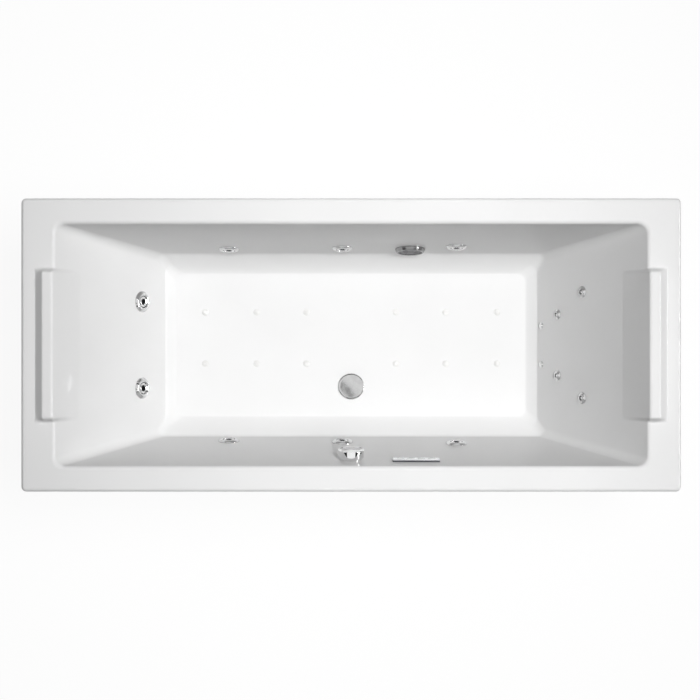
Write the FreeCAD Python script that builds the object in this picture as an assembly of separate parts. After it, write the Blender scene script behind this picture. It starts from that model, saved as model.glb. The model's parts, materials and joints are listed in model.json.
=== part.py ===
import FreeCAD, Part
import math
import os
from FreeCAD import Placement, Rotation, Vector

# A built-in jetted bath, 1800 x 800 x 600 mm, in millimetres.
# Origin: on the floor under the middle of the bath. +X is the length towards the end with the
# small jets, +Y is the long side away from the overflow knob, +Z is up.

# ---- outside and rim ----
BATH_LENGTH = 1800.0
BATH_WIDTH = 800.0
RIM_HEIGHT = 600.0
FLOOR_Z = 170.0             # the basin floor, above the ground
HALF_LENGTH = BATH_LENGTH / 2
HALF_WIDTH = BATH_WIDTH / 2
SHELL = 6.0                 # thickness of the moulded acrylic
LIP_DEPTH = 36.0            # how far the outer lip is turned down
LIP_CORNER = 14.0           # plan radius of the outer corners
LIP_BEVEL = 3.0             # eased outer top edge
END_RIM = 90.0              # flat rim at each end, up to the basin
SIDE_RIM = 69.0             # flat rim along each side
RIM_ROUND = 12.0            # rounding from the rim into the basin

# ---- basin ----
END_RUN = 263.5             # how far each backrest slopes in from the rim to the floor
SIDE_RUN = 66.2             # and each long wall
END_FILLET = 40.0           # foot of each backrest
SIDE_FILLET = 60.0          # foot of each long wall
CORNER_FILLET = 26.0        # upright corners of the basin
FOOT_TRIM = 0.4             # the floor is drawn this far above the lowest line of the foot roundings

# ---- headrests: a raised pad moulded into each end rim ----
PAD_RISE = 22.0
PAD_SIDE_MARGIN = 188.0     # from the bath's long side to the pad
PAD_SIDE_RUN = 18.0         # how far each side slopes in over the rise
PAD_END_MARGIN = 39.0       # from the bath's end to where the pad leaves the rim
PAD_OUTER_RUN = 23.0        # its outer slope, seen from above
PAD_TOP_RUN = 28.0          # its flat top
PAD_DROP = 90.0             # the pad's face runs out into the backrest this far below the rim
PAD_SKIRT = 15.0            # how far the pad's form reaches on into the backrest
PAD_HOLLOW_LIFT = 20.0      # the hollow underneath ends this far above the foot of the pad
PAD_ROUND = 7.0

# ---- water jets: places are shares of the bath's half length, rises are shares of its depth ----
JET_PLACES = ((-0.3989, 0.2674), (-0.0289, 0.2977), (0.3411, 0.3488))
BACK_JET_Y = 127.0
BACK_JET_RISE = 0.2605
JET_FLANGE_RADIUS = 31.0
JET_PROUD = 8.0
JET_BORE = 17.5             # seat that the swivelling nozzle turns in
JET_SLEEVE_RADIUS = 22.5
JET_SLEEVE_LENGTH = 24.0
JET_BODY_ACROSS = 54.0
JET_BODY_DEPTH = 52.0
JET_HUB_ACROSS = 28.0       # air connection at the back of each body
JET_HUB_DEPTH = 68.0
JET_PIPE_DEPTH = 36.0       # the water pipes run this far behind the wall's face
NOZZLE_GAP = 0.12           # running gap between nozzle and seat
NOZZLE_PIVOT = -2.0         # depth of the nozzle's centre behind the wall face
NOZZLE_REACH = 8.0          # nozzle length each side of its centre
NOZZLE_HOLE = 7.0
RING_SIDES = 24             # large chrome rings and caps
FITTING_SIDES = 16          # round fittings are turned with this many flats
SMALL_SIDES = 12            # jets, which repeat
HIDDEN_SIDES = 8            # injector caps, and pipes and bodies behind the shell
HOSE_SIDES = 6
GASKET = 2.0

# ---- small jets in the far end, as (y, rise, flange radius) ----
MINI_JETS = ((153.0, 0.4535, 17.0), (90.0, 0.2326, 15.5))
MINI_PROUD = 6.0
MINI_BODY_ACROSS = 26.0
MINI_BODY_DEPTH = 34.0
MINI_PIPE_DEPTH = 22.0

# ---- air injectors ----
FLOOR_INJECTOR_PLACES = (0.15, 0.3167, 0.4889)   # shares of the half length, either side of the middle
FLOOR_INJECTOR_Y = (99.0, -56.0)
END_INJECTOR = (58.0, 0.0837)                    # y and rise
INJECTOR_RADIUS = 10.0
INJECTOR_PROUD = 4.0
INJECTOR_STEM = 10.0        # side of the square shank through the floor
INJECTOR_BLOCK = 26.0
INJECTOR_BLOCK_DEPTH = 14.0
AIR_HOSE_RADIUS = 5.5

# ---- suction, waste and overflow ----
SUCTION_PLACE = 0.1922
SUCTION_RISE = 114.0        # its middle above the floor
SUCTION_RADIUS = 44.0
SUCTION_PROUD = 12.0
WASTE_Y = -125.0
WASTE_CAP_RADIUS = 39.0
WASTE_FLANGE_RADIUS = 36.0
WASTE_SLEEVE_RADIUS = 25.0
WASTE_SLEEVE_LENGTH = 24.0
PLUG_STEM = 4.0
PLUG_STEM_LENGTH = 28.0     # below the floor
PLUG_LIFT_GAP = 2.3         # the closed cap stands this far above the floor
TRAP_BARREL = 46.0
TRAP_BARREL_DROP = (138.0, 88.0)   # bottom and top of the barrel, below the floor
OVERFLOW_DROP = 85.0        # the knob's centre, below the rim
KNOB_RADIUS = 36.0
KNOB_PROUD = 29.0
KNOB_SPINDLE = 6.0
WASTE_PIPE_RADIUS = 20.0
OVERFLOW_PIPE_RADIUS = 18.0
CABLE_X = 24.0              # the lifting cable runs beside the overflow pipe
CABLE_RADIUS = 3.0
OUTLET_DROP = 108.0         # the outlet's centre, below the floor
OUTLET_MARGIN = 5.0         # from the bath's long side to the end of the outlet
SPIGOT_LENGTH = 45.0
OVERFLOW_INLET_DROP = 66.0  # where the overflow joins the trap, below the floor
OVERFLOW_PIPE_MARGIN = (27.0, 110.0)   # the overflow pipe's corners, from the bath's long side
OVERFLOW_PIPE_TURN = 170.0  # its upper corner, below the rim

# ---- control panel ----
PANEL_PLACE = 0.2
PANEL_DROP = 69.0
PANEL_SIZE = (130.0, 34.0, 5.5)
PANEL_CORNER = 6.0
BUTTON_SIZE = (20.0, 12.0)
BUTTON_PITCH = 29.0
BUTTON_PROUD = 1.2
BUTTON_TRAVEL = 0.8

# ---- support frame ----
RAIL = 30.0                 # square tube
UPRIGHT = 25.0
LONG_RAIL_MARGIN = 30.0     # from the bath's long side to the rail's middle
LONG_RAIL_SHORT = 28.0      # the rails end this far inside the bath's ends
END_RAIL_MARGIN = 43.0
CROSS_RAIL_PLACES = (0.5667, 0.2333)
UPRIGHT_MARGIN = 27.5
BATTEN = 20.0
BATTEN_MARGIN = 32.0
BOARD = 15.0
BOARD_SHORT = 20.5          # the boards end this far inside the foot of the backrests
BOARD_NARROW = 39.8         # and this far inside the foot of the long walls
BOARD_SLOT = 44.0           # slot left between the boards for each row of injectors
FOOT_PLACES = (-0.7111, 0.1111, 0.7111)   # the middle pair stands clear of the outlet pipe
FOOT_SIZE = (50.0, 44.0)
FOOT_THICK = 14.0
STUD_RADIUS = 6.0
STUD_IN_RAIL = 15.0
NUT_ACROSS = 19.0
NUT_THICK = 9.0
STUD_GAP = 0.2

# ---- pump, blower and pipes ----
SHELF = 6.0
SHELF_HALF_WIDTH = 80.0
MACHINE_MARGIN = 150.0      # from the bath's ends to the pump's and the blower's middle
PUMP_RISE = 75.0            # the pump's axis above its shelf
MOTOR_RADIUS = 70.0
MOTOR_Y = (-95.0, 60.0)
VOLUTE_RADIUS = 74.0
VOLUTE_Y = (60.0, 95.0)
CHAMBER_RADIUS = 58.0
CHAMBER_Y = (64.0, 90.0)
INLET_END_Y = 120.0
SHAFT_RADIUS = 8.0
IMPELLER_RADIUS = 52.0
BLOWER_RADIUS = 75.0
BLOWER_HEIGHT = 90.0
CONTROL_BOX = (110.0, 120.0, 95.0)
CONTROL_BOX_MARGIN = (100.0, 70.0)   # from the bath's end and from its long side
GLAND_LENGTH = 22.0
SUCTION_PIPE_RADIUS = 25.0
SUCTION_RUN_MARGIN = 86.0   # from the bath's long side to the run along the back
SUCTION_RUN_RISE = 30.0     # the run above the floor of the basin
SUCTION_STUB_RISE = 66.0
PIPE_TO_BOWL = 17.0         # the pipe ends inside the suction body, this far below its middle
WATER_PIPE_RADIUS = 16.0
PUMP_STUB = 22.0            # length of the short pipe from the pump
OVER_SUCTION_RISE = 65.0    # the back pressure pipe climbs this far above the suction's middle
OVER_SUCTION_X = (-133.0, -88.0, 42.0)   # its corners, from the suction's middle
SMALL_PIPE_RADIUS = 9.0
AIR_LINK_RADIUS = 8.0
MANIFOLD_MARGIN = (290.0, 250.0)     # its near and far side, from the bath's end
MANIFOLD_HALF_WIDTH = 110.0
MANIFOLD_DROP = (28.0, -5.0)         # its bottom and top, below the floor of the basin

UNDER_FLOOR = FLOOR_Z - SHELL
BASIN_DEPTH = RIM_HEIGHT - FLOOR_Z
END_LEAN = math.degrees(math.atan2(END_RUN, BASIN_DEPTH))     # from the upright
SIDE_LEAN = math.degrees(math.atan2(SIDE_RUN, BASIN_DEPTH))
BASIN_HALF_LENGTH = HALF_LENGTH - END_RIM
BASIN_HALF_WIDTH = HALF_WIDTH - SIDE_RIM
CROSS_RAIL_TOP = UNDER_FLOOR - BOARD
LONG_RAIL_TOP = CROSS_RAIL_TOP - RAIL
LONG_RAIL_BOTTOM = LONG_RAIL_TOP - RAIL
LONG_RAIL_Y = HALF_WIDTH - LONG_RAIL_MARGIN
UPRIGHT_Y = HALF_WIDTH - UPRIGHT_MARGIN
SHELF_TOP = LONG_RAIL_TOP + SHELF
BATTEN_TOP = RIM_HEIGHT - SHELL
BATTEN_BOTTOM = BATTEN_TOP - BATTEN
SUCTION_X = SUCTION_PLACE * HALF_LENGTH
SUCTION_Z = FLOOR_Z + SUCTION_RISE
BACK_JET_Z = FLOOR_Z + BACK_JET_RISE * BASIN_DEPTH
OVERFLOW_Z = RIM_HEIGHT - OVERFLOW_DROP
OVERFLOW_INLET_Z = FLOOR_Z - OVERFLOW_INLET_DROP
OUTLET_Z = FLOOR_Z - OUTLET_DROP
PUMP_X = MACHINE_MARGIN - HALF_LENGTH
PUMP_Z = SHELF_TOP + PUMP_RISE
BLOWER_X = HALF_LENGTH - MACHINE_MARGIN
MANIFOLD_X = (HALF_LENGTH - MANIFOLD_MARGIN[0], HALF_LENGTH - MANIFOLD_MARGIN[1])
MANIFOLD_Z = (FLOOR_Z - MANIFOLD_DROP[0], FLOOR_Z - MANIFOLD_DROP[1])
UP = Vector(0, 0, 1)
parts = {}


# ---------------------------------------------------------------- helpers

def lean(degrees):
    return math.tan(math.radians(degrees))


def half_length_at(z, offset=0.0):
    """Half length between the backrest planes at height z, grown by offset."""
    slant = offset / math.cos(math.radians(END_LEAN))
    return BASIN_HALF_LENGTH - (RIM_HEIGHT - z) * lean(END_LEAN) + slant


def half_width_at(z, offset=0.0):
    """Half width between the long wall planes at height z, grown by offset."""
    slant = offset / math.cos(math.radians(SIDE_LEAN))
    return BASIN_HALF_WIDTH - (RIM_HEIGHT - z) * lean(SIDE_LEAN) + slant


def box(x0, x1, y0, y1, z0, z1):
    return Part.makeBox(x1 - x0, y1 - y0, z1 - z0, Vector(x0, y0, z0))


def rod(radius, start, end):
    start, end = Vector(*start), Vector(*end)
    return Part.makeCylinder(radius, (end - start).Length, start, end - start)


def ring_points(sides, radius, z):
    """Corners of a regular polygon with its flats square to X."""
    turns = [(i + 0.5) * 2 * math.pi / sides for i in range(sides)]
    return [Vector(radius * math.cos(a), radius * math.sin(a), z) for a in turns]


def flat_face(points):
    return Part.Face(Part.makePolygon(points + points[:1]))


def tube_between(rings):
    """A closed solid with flat sides through a row of matching rings of points."""
    faces = [flat_face(rings[0]), flat_face(rings[-1])]
    for low, high in zip(rings, rings[1:]):
        for n in range(len(low)):
            faces.append(flat_face([low[n - 1], low[n], high[n], high[n - 1]]))
    shell = Part.makeShell(faces)
    shell.sewShape()
    return Part.makeSolid(shell)


def stack(sides, *profile):
    """Flat-sided steps and tapers through (corner radius, z) points from the bottom up."""
    steps = [tube_between([ring_points(sides, r0, z0), ring_points(sides, r1, z1)])
             for (r0, z0), (r1, z1) in zip(profile, profile[1:]) if z1 > z0]
    return fuse(*steps) if len(steps) > 1 else steps[0]


def over_flats(sides, half):
    """Corner radius of a polygon that measures half to its flats."""
    return half / math.cos(math.pi / sides)


def flat_prism(sides, across, z0, z1):
    """An upright prism with flats square to X, measured across the flats."""
    corner = over_flats(sides, across / 2)
    return stack(sides, (corner, z0), (corner, z1))


def plate_with_corners(length, width, z0, z1):
    """A flat plate and its four upright corner edges."""
    plate = box(-length / 2, length / 2, -width / 2, width / 2, z0, z1)
    return plate, [e for e in plate.Edges if abs(e.BoundBox.ZLength - (z1 - z0)) < 0.01]


def rounded_plate(length, width, corner, z0, z1):
    plate, uprights = plate_with_corners(length, width, z0, z1)
    return plate.makeFillet(corner, uprights)


def one_solid(shape):
    """The single solid of a boolean result."""
    return shape.Solids[0] if len(shape.Solids) == 1 else shape


def fuse(*shapes):
    return one_solid(shapes[0].fuse(list(shapes[1:])).removeSplitter())


def cut(shape, *tools):
    return one_solid(shape.cut(list(tools)))


def place(shape, placement):
    moved = shape.copy()
    moved.Placement = placement
    return moved


def node(name, *solids):
    """Keep the solids of one named sub-part."""
    parts[name] = Part.makeCompound(list(solids)) if len(solids) > 1 else solids[0]


def wall_seat(side, along, z):
    """Where a fitting sits: local Z points into the basin, local Y up the wall."""
    outward = {"back": Vector(0, 1, 0), "front": Vector(0, -1, 0),
               "left": Vector(-1, 0, 0), "right": Vector(1, 0, 0)}[side]
    tilt = math.radians(SIDE_LEAN if side in ("back", "front") else END_LEAN)
    inward = UP * math.sin(tilt) - outward * math.cos(tilt)
    upward = UP * math.cos(tilt) + outward * math.sin(tilt)
    if side in ("back", "front"):
        seat = Vector(along, 0, z) + outward * half_width_at(z)
    else:
        seat = Vector(0, along, z) + outward * half_length_at(z)
    return Placement(seat, Rotation(upward.cross(inward), upward, inward, "ZXY"))


def at_depth(seat, depth):
    return seat.multVec(Vector(0, 0, -depth))


def link(start, end, radius, sides=HIDDEN_SIDES):
    """A straight pipe along X whose two ends stay square to X."""
    corners = [Vector(0, p.x, p.y) for p in ring_points(sides, radius, 0)]
    return tube_between([[start + p for p in corners], [end + p for p in corners]])


def bend_points(points, bend, chords=3):
    """The route with each corner opened into a few chords of an arc."""
    route = [points[0]]
    for before, corner, after in zip(points, points[1:], points[2:]):
        towards = (corner - before).normalize()
        away = (after - corner).normalize()
        turn = towards.getAngle(away)
        hub = corner - towards * (bend * math.tan(turn / 2)) + arc_normal(towards, away) * bend
        steps = max(1, round(chords * turn / (math.pi / 2)))
        reach = bend / math.cos(turn / steps / 2)
        for step in range(steps):
            swing = turn * (step + 0.5) / steps
            route.append(hub - arc_normal(towards, away) * (reach * math.cos(swing))
                         + towards * (reach * math.sin(swing)))
    return route + [points[-1]]


def arc_normal(towards, away):
    """Unit direction from a run towards the middle of the bend that follows it."""
    return (away - towards * towards.dot(away)).normalize()


def pipe_run(points, radius, bend, sides=HIDDEN_SIDES):
    """A flat-sided pipe along straight runs, mitred round each bend."""
    route = bend_points([Vector(*p) for p in points], bend)
    runs = [(b - a).normalize() for a, b in zip(route, route[1:])]
    across = runs[0].cross(UP) if abs(runs[0].z) < 0.9 else runs[0].cross(Vector(1, 0, 0))
    seat = Placement(route[0], Rotation(across, runs[0].cross(across), runs[0], "ZXY"))
    rings = [[seat.multVec(p) for p in ring_points(sides, radius, 0)]]
    for spot, before, after in zip(route[1:], runs, runs[1:] + runs[-1:]):
        mitre = before + after
        rings.append([p + before * ((spot - p).dot(mitre) / before.dot(mitre)) for p in rings[-1]])
    return tube_between(rings)


# ---------------------------------------------------------------- moulded shell

def trough(half_foot, half_top, z0, z1, fillet, reach, along_y):
    """A long trough with sloping sides and a rounded foot, as a solid."""
    def point(across, z):
        return Vector(across, -reach, z) if along_y else Vector(-reach, across, z)

    run = Vector(0, 2 * reach, 0) if along_y else Vector(2 * reach, 0, 0)

    slope = math.atan2(half_top - half_foot, z1 - z0)
    setback = fillet * math.tan((math.pi / 2 - slope) / 2)
    foot = half_foot - setback
    rise = (half_foot + setback * math.sin(slope), z0 + setback * math.cos(slope))
    swing = (math.pi / 2 - slope) / 2
    bulge = (foot + fillet * math.sin(swing), z0 + fillet - fillet * math.cos(swing))
    edges = [
        Part.LineSegment(point(-foot, z0), point(foot, z0)),
        Part.Arc(point(foot, z0), point(*bulge), point(*rise)),
        Part.LineSegment(point(*rise), point(half_top, z1)),
        Part.LineSegment(point(half_top, z1), point(-half_top, z1)),
        Part.LineSegment(point(-half_top, z1), point(-rise[0], rise[1])),
        Part.Arc(point(-rise[0], rise[1]), point(-bulge[0], bulge[1]), point(-foot, z0)),
    ]
    face = Part.Face(Part.Wire([edge.toShape() for edge in edges]))
    return face.extrude(run)


def basin_form(offset, top):
    """The basin's hollow, grown by offset on every side; only the hollow itself has round corners."""
    floor = FLOOR_Z - offset
    foot = floor - FOOT_TRIM
    lengthways = trough(half_length_at(foot, offset), half_length_at(top, offset), foot, top,
                        END_FILLET + offset, BATH_WIDTH, True)
    crossways = trough(half_width_at(foot, offset), half_width_at(top, offset), foot, top,
                       SIDE_FILLET + offset, BATH_LENGTH, False)
    form = one_solid(lengthways.common(crossways))
    if not offset:
        corners = [e for e in form.Edges if e.BoundBox.ZLength > BASIN_DEPTH / 2]
        form = form.makeFillet(CORNER_FILLET, corners)
    return one_solid(form.common(box(-BATH_LENGTH, BATH_LENGTH, -BATH_WIDTH, BATH_WIDTH, floor, top)))


def pad_form(inset):
    """The headrest's outer form at the +X end, shrunk by inset for its hollow underside."""
    top = RIM_HEIGHT + PAD_RISE - inset
    outer_x = HALF_LENGTH - PAD_END_MARGIN
    top_x = (outer_x - PAD_OUTER_RUN - PAD_TOP_RUN, outer_x - PAD_OUTER_RUN)
    foot_z = RIM_HEIGHT - PAD_DROP
    foot_x = half_length_at(foot_z)
    face_run = (top_x[0] - foot_x) / (PAD_DROP + PAD_RISE)
    half = HALF_WIDTH - PAD_SIDE_MARGIN - inset
    if inset:
        low_z = foot_z + PAD_HOLLOW_LIFT
        low_x = foot_x + PAD_HOLLOW_LIFT * face_run + inset * 1.1
        back_x = outer_x - inset * 1.4
        profile = [(top_x[0] + inset * 0.6, top), (top_x[1] - inset * 0.4, top), (back_x, RIM_HEIGHT),
                   (back_x, RIM_HEIGHT - PAD_HOLLOW_LIFT), (low_x + SHELL * 5, low_z), (low_x, low_z)]
    else:
        low_z = foot_z - PAD_SKIRT
        under = RIM_HEIGHT - SHELL / 2
        profile = [(top_x[0], top), (top_x[1], top), (outer_x, RIM_HEIGHT), (outer_x, under),
                   (BASIN_HALF_LENGTH + SHELL / 2, under), (foot_x - PAD_SKIRT * face_run, low_z)]
    points = [Vector(x, -HALF_WIDTH, z) for x, z in profile]
    along = flat_face(points).extrude(Vector(0, BATH_WIDTH, 0))
    section = [(half - PAD_SIDE_RUN, top), (half, RIM_HEIGHT), (half + 2, low_z)]
    section += [(-y, z) for y, z in reversed(section)]
    across = flat_face([Vector(0, y, z) for y, z in section]).extrude(Vector(BATH_LENGTH, 0, 0))
    return one_solid(along.common(across))


def rounded_pad():
    pad = pad_form(0)
    top = RIM_HEIGHT + PAD_RISE
    crown = [e for e in pad.Edges if e.BoundBox.ZMin > top - 0.01]
    return one_solid(pad.makeFillet(PAD_ROUND, crown))


def both_ends(shape):
    return [shape, shape.mirror(Vector(), Vector(1, 0, 0))]


def rim_tray():
    """The flat rim with its turned-down lip."""
    slab = rounded_plate(BATH_LENGTH, BATH_WIDTH, LIP_CORNER, RIM_HEIGHT - LIP_DEPTH, RIM_HEIGHT)
    outline = [e for e in slab.Edges if e.BoundBox.ZMin > RIM_HEIGHT - 0.01]
    slab = slab.makeChamfer(LIP_BEVEL, outline)
    inside = rounded_plate(BATH_LENGTH - 2 * SHELL, BATH_WIDTH - 2 * SHELL, LIP_CORNER - SHELL,
                           RIM_HEIGHT - LIP_DEPTH, RIM_HEIGHT - SHELL)
    return slab.cut(inside)


def shell_holes():
    """Every hole that a fitting needs through the moulded shell."""
    holes = []
    depth = SHELL * 5

    def bore(seat, half, sides=HIDDEN_SIDES):
        corner = over_flats(sides, half)
        holes.append(place(stack(sides, (corner, -depth), (corner, depth)), seat))

    for seat in jet_seats().values():
        bore(seat, JET_SLEEVE_RADIUS + 0.5)
    for seat, radius in mini_seats():
        bore(seat, radius - 5)
    for seat in injector_seats():
        bore(seat, INJECTOR_STEM / 2 + 0.3, 4)
    bore(wall_seat("back", SUCTION_X, SUCTION_Z), SUCTION_RADIUS - 12)
    bore(wall_seat("front", 0, OVERFLOW_Z), KNOB_RADIUS - 12)
    bore(Placement(Vector(0, WASTE_Y, FLOOR_Z), Rotation()), WASTE_SLEEVE_RADIUS + 1)
    holes.append(place(box(-50, 50, -9, 9, -depth, depth), panel_seat()))
    return holes


def make_shell():
    tray = rim_tray()
    hull = basin_form(SHELL, RIM_HEIGHT - SHELL / 2)
    hollow = basin_form(0, RIM_HEIGHT + 40)
    body = one_solid(tray.fuse(hull).cut(hollow))
    edge = [e for e in body.Edges
            if e.BoundBox.ZMin > RIM_HEIGHT - 0.01 and abs(e.CenterOfMass.x) < HALF_LENGTH - END_RIM / 2
            and abs(e.CenterOfMass.y) < HALF_WIDTH - SIDE_RIM / 2]
    body = body.makeFillet(RIM_ROUND, edge)
    body = body.fuse(both_ends(rounded_pad())).cut(both_ends(pad_form(SHELL)))
    node("bath_shell", cut(body, *shell_holes()))


# ---------------------------------------------------------------- where the fittings sit

def above_floor(rise):
    """The height of a fitting whose rise is given as a share of the basin's depth."""
    return FLOOR_Z + rise * BASIN_DEPTH


def side_jets():
    """The x and z of the jets in each long wall."""
    return [(share * HALF_LENGTH, above_floor(rise)) for share, rise in JET_PLACES]


def jet_seats():
    seats = {}
    for side in ("back", "front"):
        for number, (x, z) in enumerate(side_jets(), 1):
            seats["%s_%d" % (side, number)] = wall_seat(side, x, z)
    seats["end_1"] = wall_seat("left", BACK_JET_Y, BACK_JET_Z)
    seats["end_2"] = wall_seat("left", -BACK_JET_Y, BACK_JET_Z)
    return seats


def mini_seats():
    return [(wall_seat("right", sign * y, above_floor(rise)), radius)
            for y, rise, radius in MINI_JETS for sign in (1, -1)]


def injector_stations():
    shares = [-share for share in reversed(FLOOR_INJECTOR_PLACES)] + list(FLOOR_INJECTOR_PLACES)
    return [share * HALF_LENGTH for share in shares]


def panel_seat():
    return wall_seat("front", PANEL_PLACE * HALF_LENGTH, RIM_HEIGHT - PANEL_DROP)


def floor_seats():
    return [Placement(Vector(x, y, FLOOR_Z), Rotation())
            for y in FLOOR_INJECTOR_Y for x in injector_stations()]


def injector_seats():
    y, rise = END_INJECTOR
    return floor_seats() + [wall_seat("right", sign * y, above_floor(rise)) for sign in (1, -1)]


# ---------------------------------------------------------------- jets and injectors

def jet_bezel():
    sleeve = JET_SLEEVE_RADIUS
    bore = over_flats(SMALL_SIDES, JET_BORE)
    flange = JET_FLANGE_RADIUS
    solid = fuse(stack(SMALL_SIDES, (sleeve, -JET_SLEEVE_LENGTH), (sleeve, 0)),
                 stack(SMALL_SIDES, (flange, 0), (flange - 5, JET_PROUD)))
    return cut(solid, stack(SMALL_SIDES, (bore, -JET_SLEEVE_LENGTH), (bore, JET_PROUD)))


def jet_gasket():
    outer, inner = JET_FLANGE_RADIUS, over_flats(HIDDEN_SIDES, JET_SLEEVE_RADIUS + 0.3)
    return cut(stack(HIDDEN_SIDES, (outer, -SHELL - GASKET), (outer, -SHELL)),
               stack(HIDDEN_SIDES, (inner, -SHELL - GASKET), (inner, -SHELL)))


def jet_body():
    """Flange, water chamber with flats for the pipes, and the air hub behind it."""
    front = -SHELL - GASKET
    flange = stack(HIDDEN_SIDES, (JET_FLANGE_RADIUS, front - 5), (JET_FLANGE_RADIUS, front))
    chamber = flat_prism(HIDDEN_SIDES, JET_BODY_ACROSS, -JET_BODY_DEPTH, front - 5)
    hub = flat_prism(HIDDEN_SIDES, JET_HUB_ACROSS, -JET_HUB_DEPTH, -JET_BODY_DEPTH)
    bore = flat_prism(HIDDEN_SIDES, 2 * JET_SLEEVE_RADIUS + 0.4,
                      -JET_SLEEVE_LENGTH - GASKET, front)
    return cut(fuse(flange, chamber, hub), bore)


def jet_nozzle():
    """A barrel-shaped swivel nozzle with grip flats and a round outlet."""
    widest = JET_BORE - NOZZLE_GAP
    ends = math.sqrt(widest ** 2 - NOZZLE_REACH ** 2) - 0.05
    low, high = NOZZLE_PIVOT - NOZZLE_REACH, NOZZLE_PIVOT + NOZZLE_REACH
    barrel = stack(SMALL_SIDES, (ends, low), (widest, NOZZLE_PIVOT), (ends, high))
    return cut(barrel, stack(HIDDEN_SIDES, (NOZZLE_HOLE, low), (NOZZLE_HOLE, high)))


def make_jets():
    seats = jet_seats()
    node("jet_bezels", *[place(jet_bezel(), seat) for seat in seats.values()])
    node("jet_gaskets", *[place(jet_gasket(), seat) for seat in seats.values()])
    node("jet_bodies", *[place(jet_body(), seat) for seat in seats.values()])
    for name, seat in seats.items():
        node("jet_nozzle_" + name, place(jet_nozzle(), seat))


def mini_bezel(radius):
    sleeve = radius - 5.5
    mouth = sleeve - 5
    solid = fuse(stack(HIDDEN_SIDES, (sleeve, -SHELL - 6), (sleeve, 0)),
                 stack(SMALL_SIDES, (radius, 0), (sleeve - 2, MINI_PROUD)))
    return cut(solid, stack(HIDDEN_SIDES, (mouth, -SHELL - 6), (mouth, MINI_PROUD)))


def mini_body(radius):
    block = flat_prism(HIDDEN_SIDES, MINI_BODY_ACROSS, -MINI_BODY_DEPTH, -SHELL)
    return cut(block, flat_prism(HIDDEN_SIDES, 2 * radius - 10.6, -SHELL - 7, -SHELL))


def make_mini_jets():
    node("mini_jet_bezels", *[place(mini_bezel(radius), seat) for seat, radius in mini_seats()])
    node("mini_jet_bodies", *[place(mini_body(radius), seat) for seat, radius in mini_seats()])


def injector_cap():
    """A low round cap on a square shank."""
    half = INJECTOR_STEM / 2
    cap = stack(HIDDEN_SIDES, (INJECTOR_RADIUS, 0), (INJECTOR_RADIUS - 3, INJECTOR_PROUD))
    return fuse(box(-half, half, -half, half, -SHELL, 0), cap)


def injector_block():
    half = INJECTOR_BLOCK / 2
    return box(-half, half, -half, half, -SHELL - INJECTOR_BLOCK_DEPTH, -SHELL)


def make_injectors():
    node("air_injector_caps", *[place(injector_cap(), seat) for seat in injector_seats()])
    node("air_injector_bodies", *[place(injector_block(), seat) for seat in injector_seats()])


# ---------------------------------------------------------------- suction, waste and overflow

def suction_grille(radius):
    """A shallow dished plate with straight slots, a bar behind them and a sleeve into the body."""
    plate = stack(FITTING_SIDES, (radius, 3), (radius, 8), (radius - 10, 11))
    slots = []
    for row in range(-3, 4):
        half = math.sqrt((radius - 6) ** 2 - (row * 8) ** 2)
        slots.append(box(-half, half, row * 8 - 2, row * 8 + 2, 0, 20))
    bar = box(-2.5, 2.5, -radius + 3, radius - 3, 3, 8)
    outer, inner = SUCTION_RADIUS - 13, SUCTION_RADIUS - 16
    sleeve = stack(HIDDEN_SIDES, (outer, -SHELL - 10), (outer, 3))
    return fuse(plate.cut(slots), bar, sleeve.cut(stack(HIDDEN_SIDES, (inner, -SHELL - 10), (inner, 3))))


def make_suction():
    seat = wall_seat("back", SUCTION_X, SUCTION_Z)
    opening = SUCTION_RADIUS - 10
    clear = over_flats(RING_SIDES, opening)
    rim = SUCTION_RADIUS
    ring = cut(stack(RING_SIDES, (rim, 0), (rim, 3), (rim - 4, SUCTION_PROUD)),
               stack(RING_SIDES, (clear, 0), (clear, SUCTION_PROUD)))
    flange = stack(FITTING_SIDES, (SUCTION_RADIUS, -SHELL - 5), (SUCTION_RADIUS, -SHELL))
    bowl = flat_prism(HIDDEN_SIDES, 76, -46, -SHELL - 5)
    throat = flat_prism(HIDDEN_SIDES, 2 * SUCTION_RADIUS - 25.4, -SHELL - 14, -SHELL)
    run_y, run_z = HALF_WIDTH - SUCTION_RUN_MARGIN, FLOOR_Z + SUCTION_RUN_RISE
    stub_z = FLOOR_Z + SUCTION_STUB_RISE
    stub_top = SUCTION_Z - PIPE_TO_BOWL
    stub = place(stack(HIDDEN_SIDES, (SUCTION_PIPE_RADIUS, stub_z), (SUCTION_PIPE_RADIUS, stub_top)),
                 Placement(Vector(SUCTION_X, run_y, 0), Rotation()))
    node("suction_ring", place(ring, seat))
    node("suction_grille", place(suction_grille(opening - 0.1), seat))
    node("suction_body", cut(fuse(place(fuse(flange, bowl), seat), stub), place(throat, seat)))
    node("suction_pipe", pipe_run([(SUCTION_X, run_y, stub_z), (SUCTION_X, run_y, run_z),
                                   (PUMP_X, run_y, run_z), (PUMP_X, INLET_END_Y, run_z)],
                                  SUCTION_PIPE_RADIUS, 38))


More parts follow.
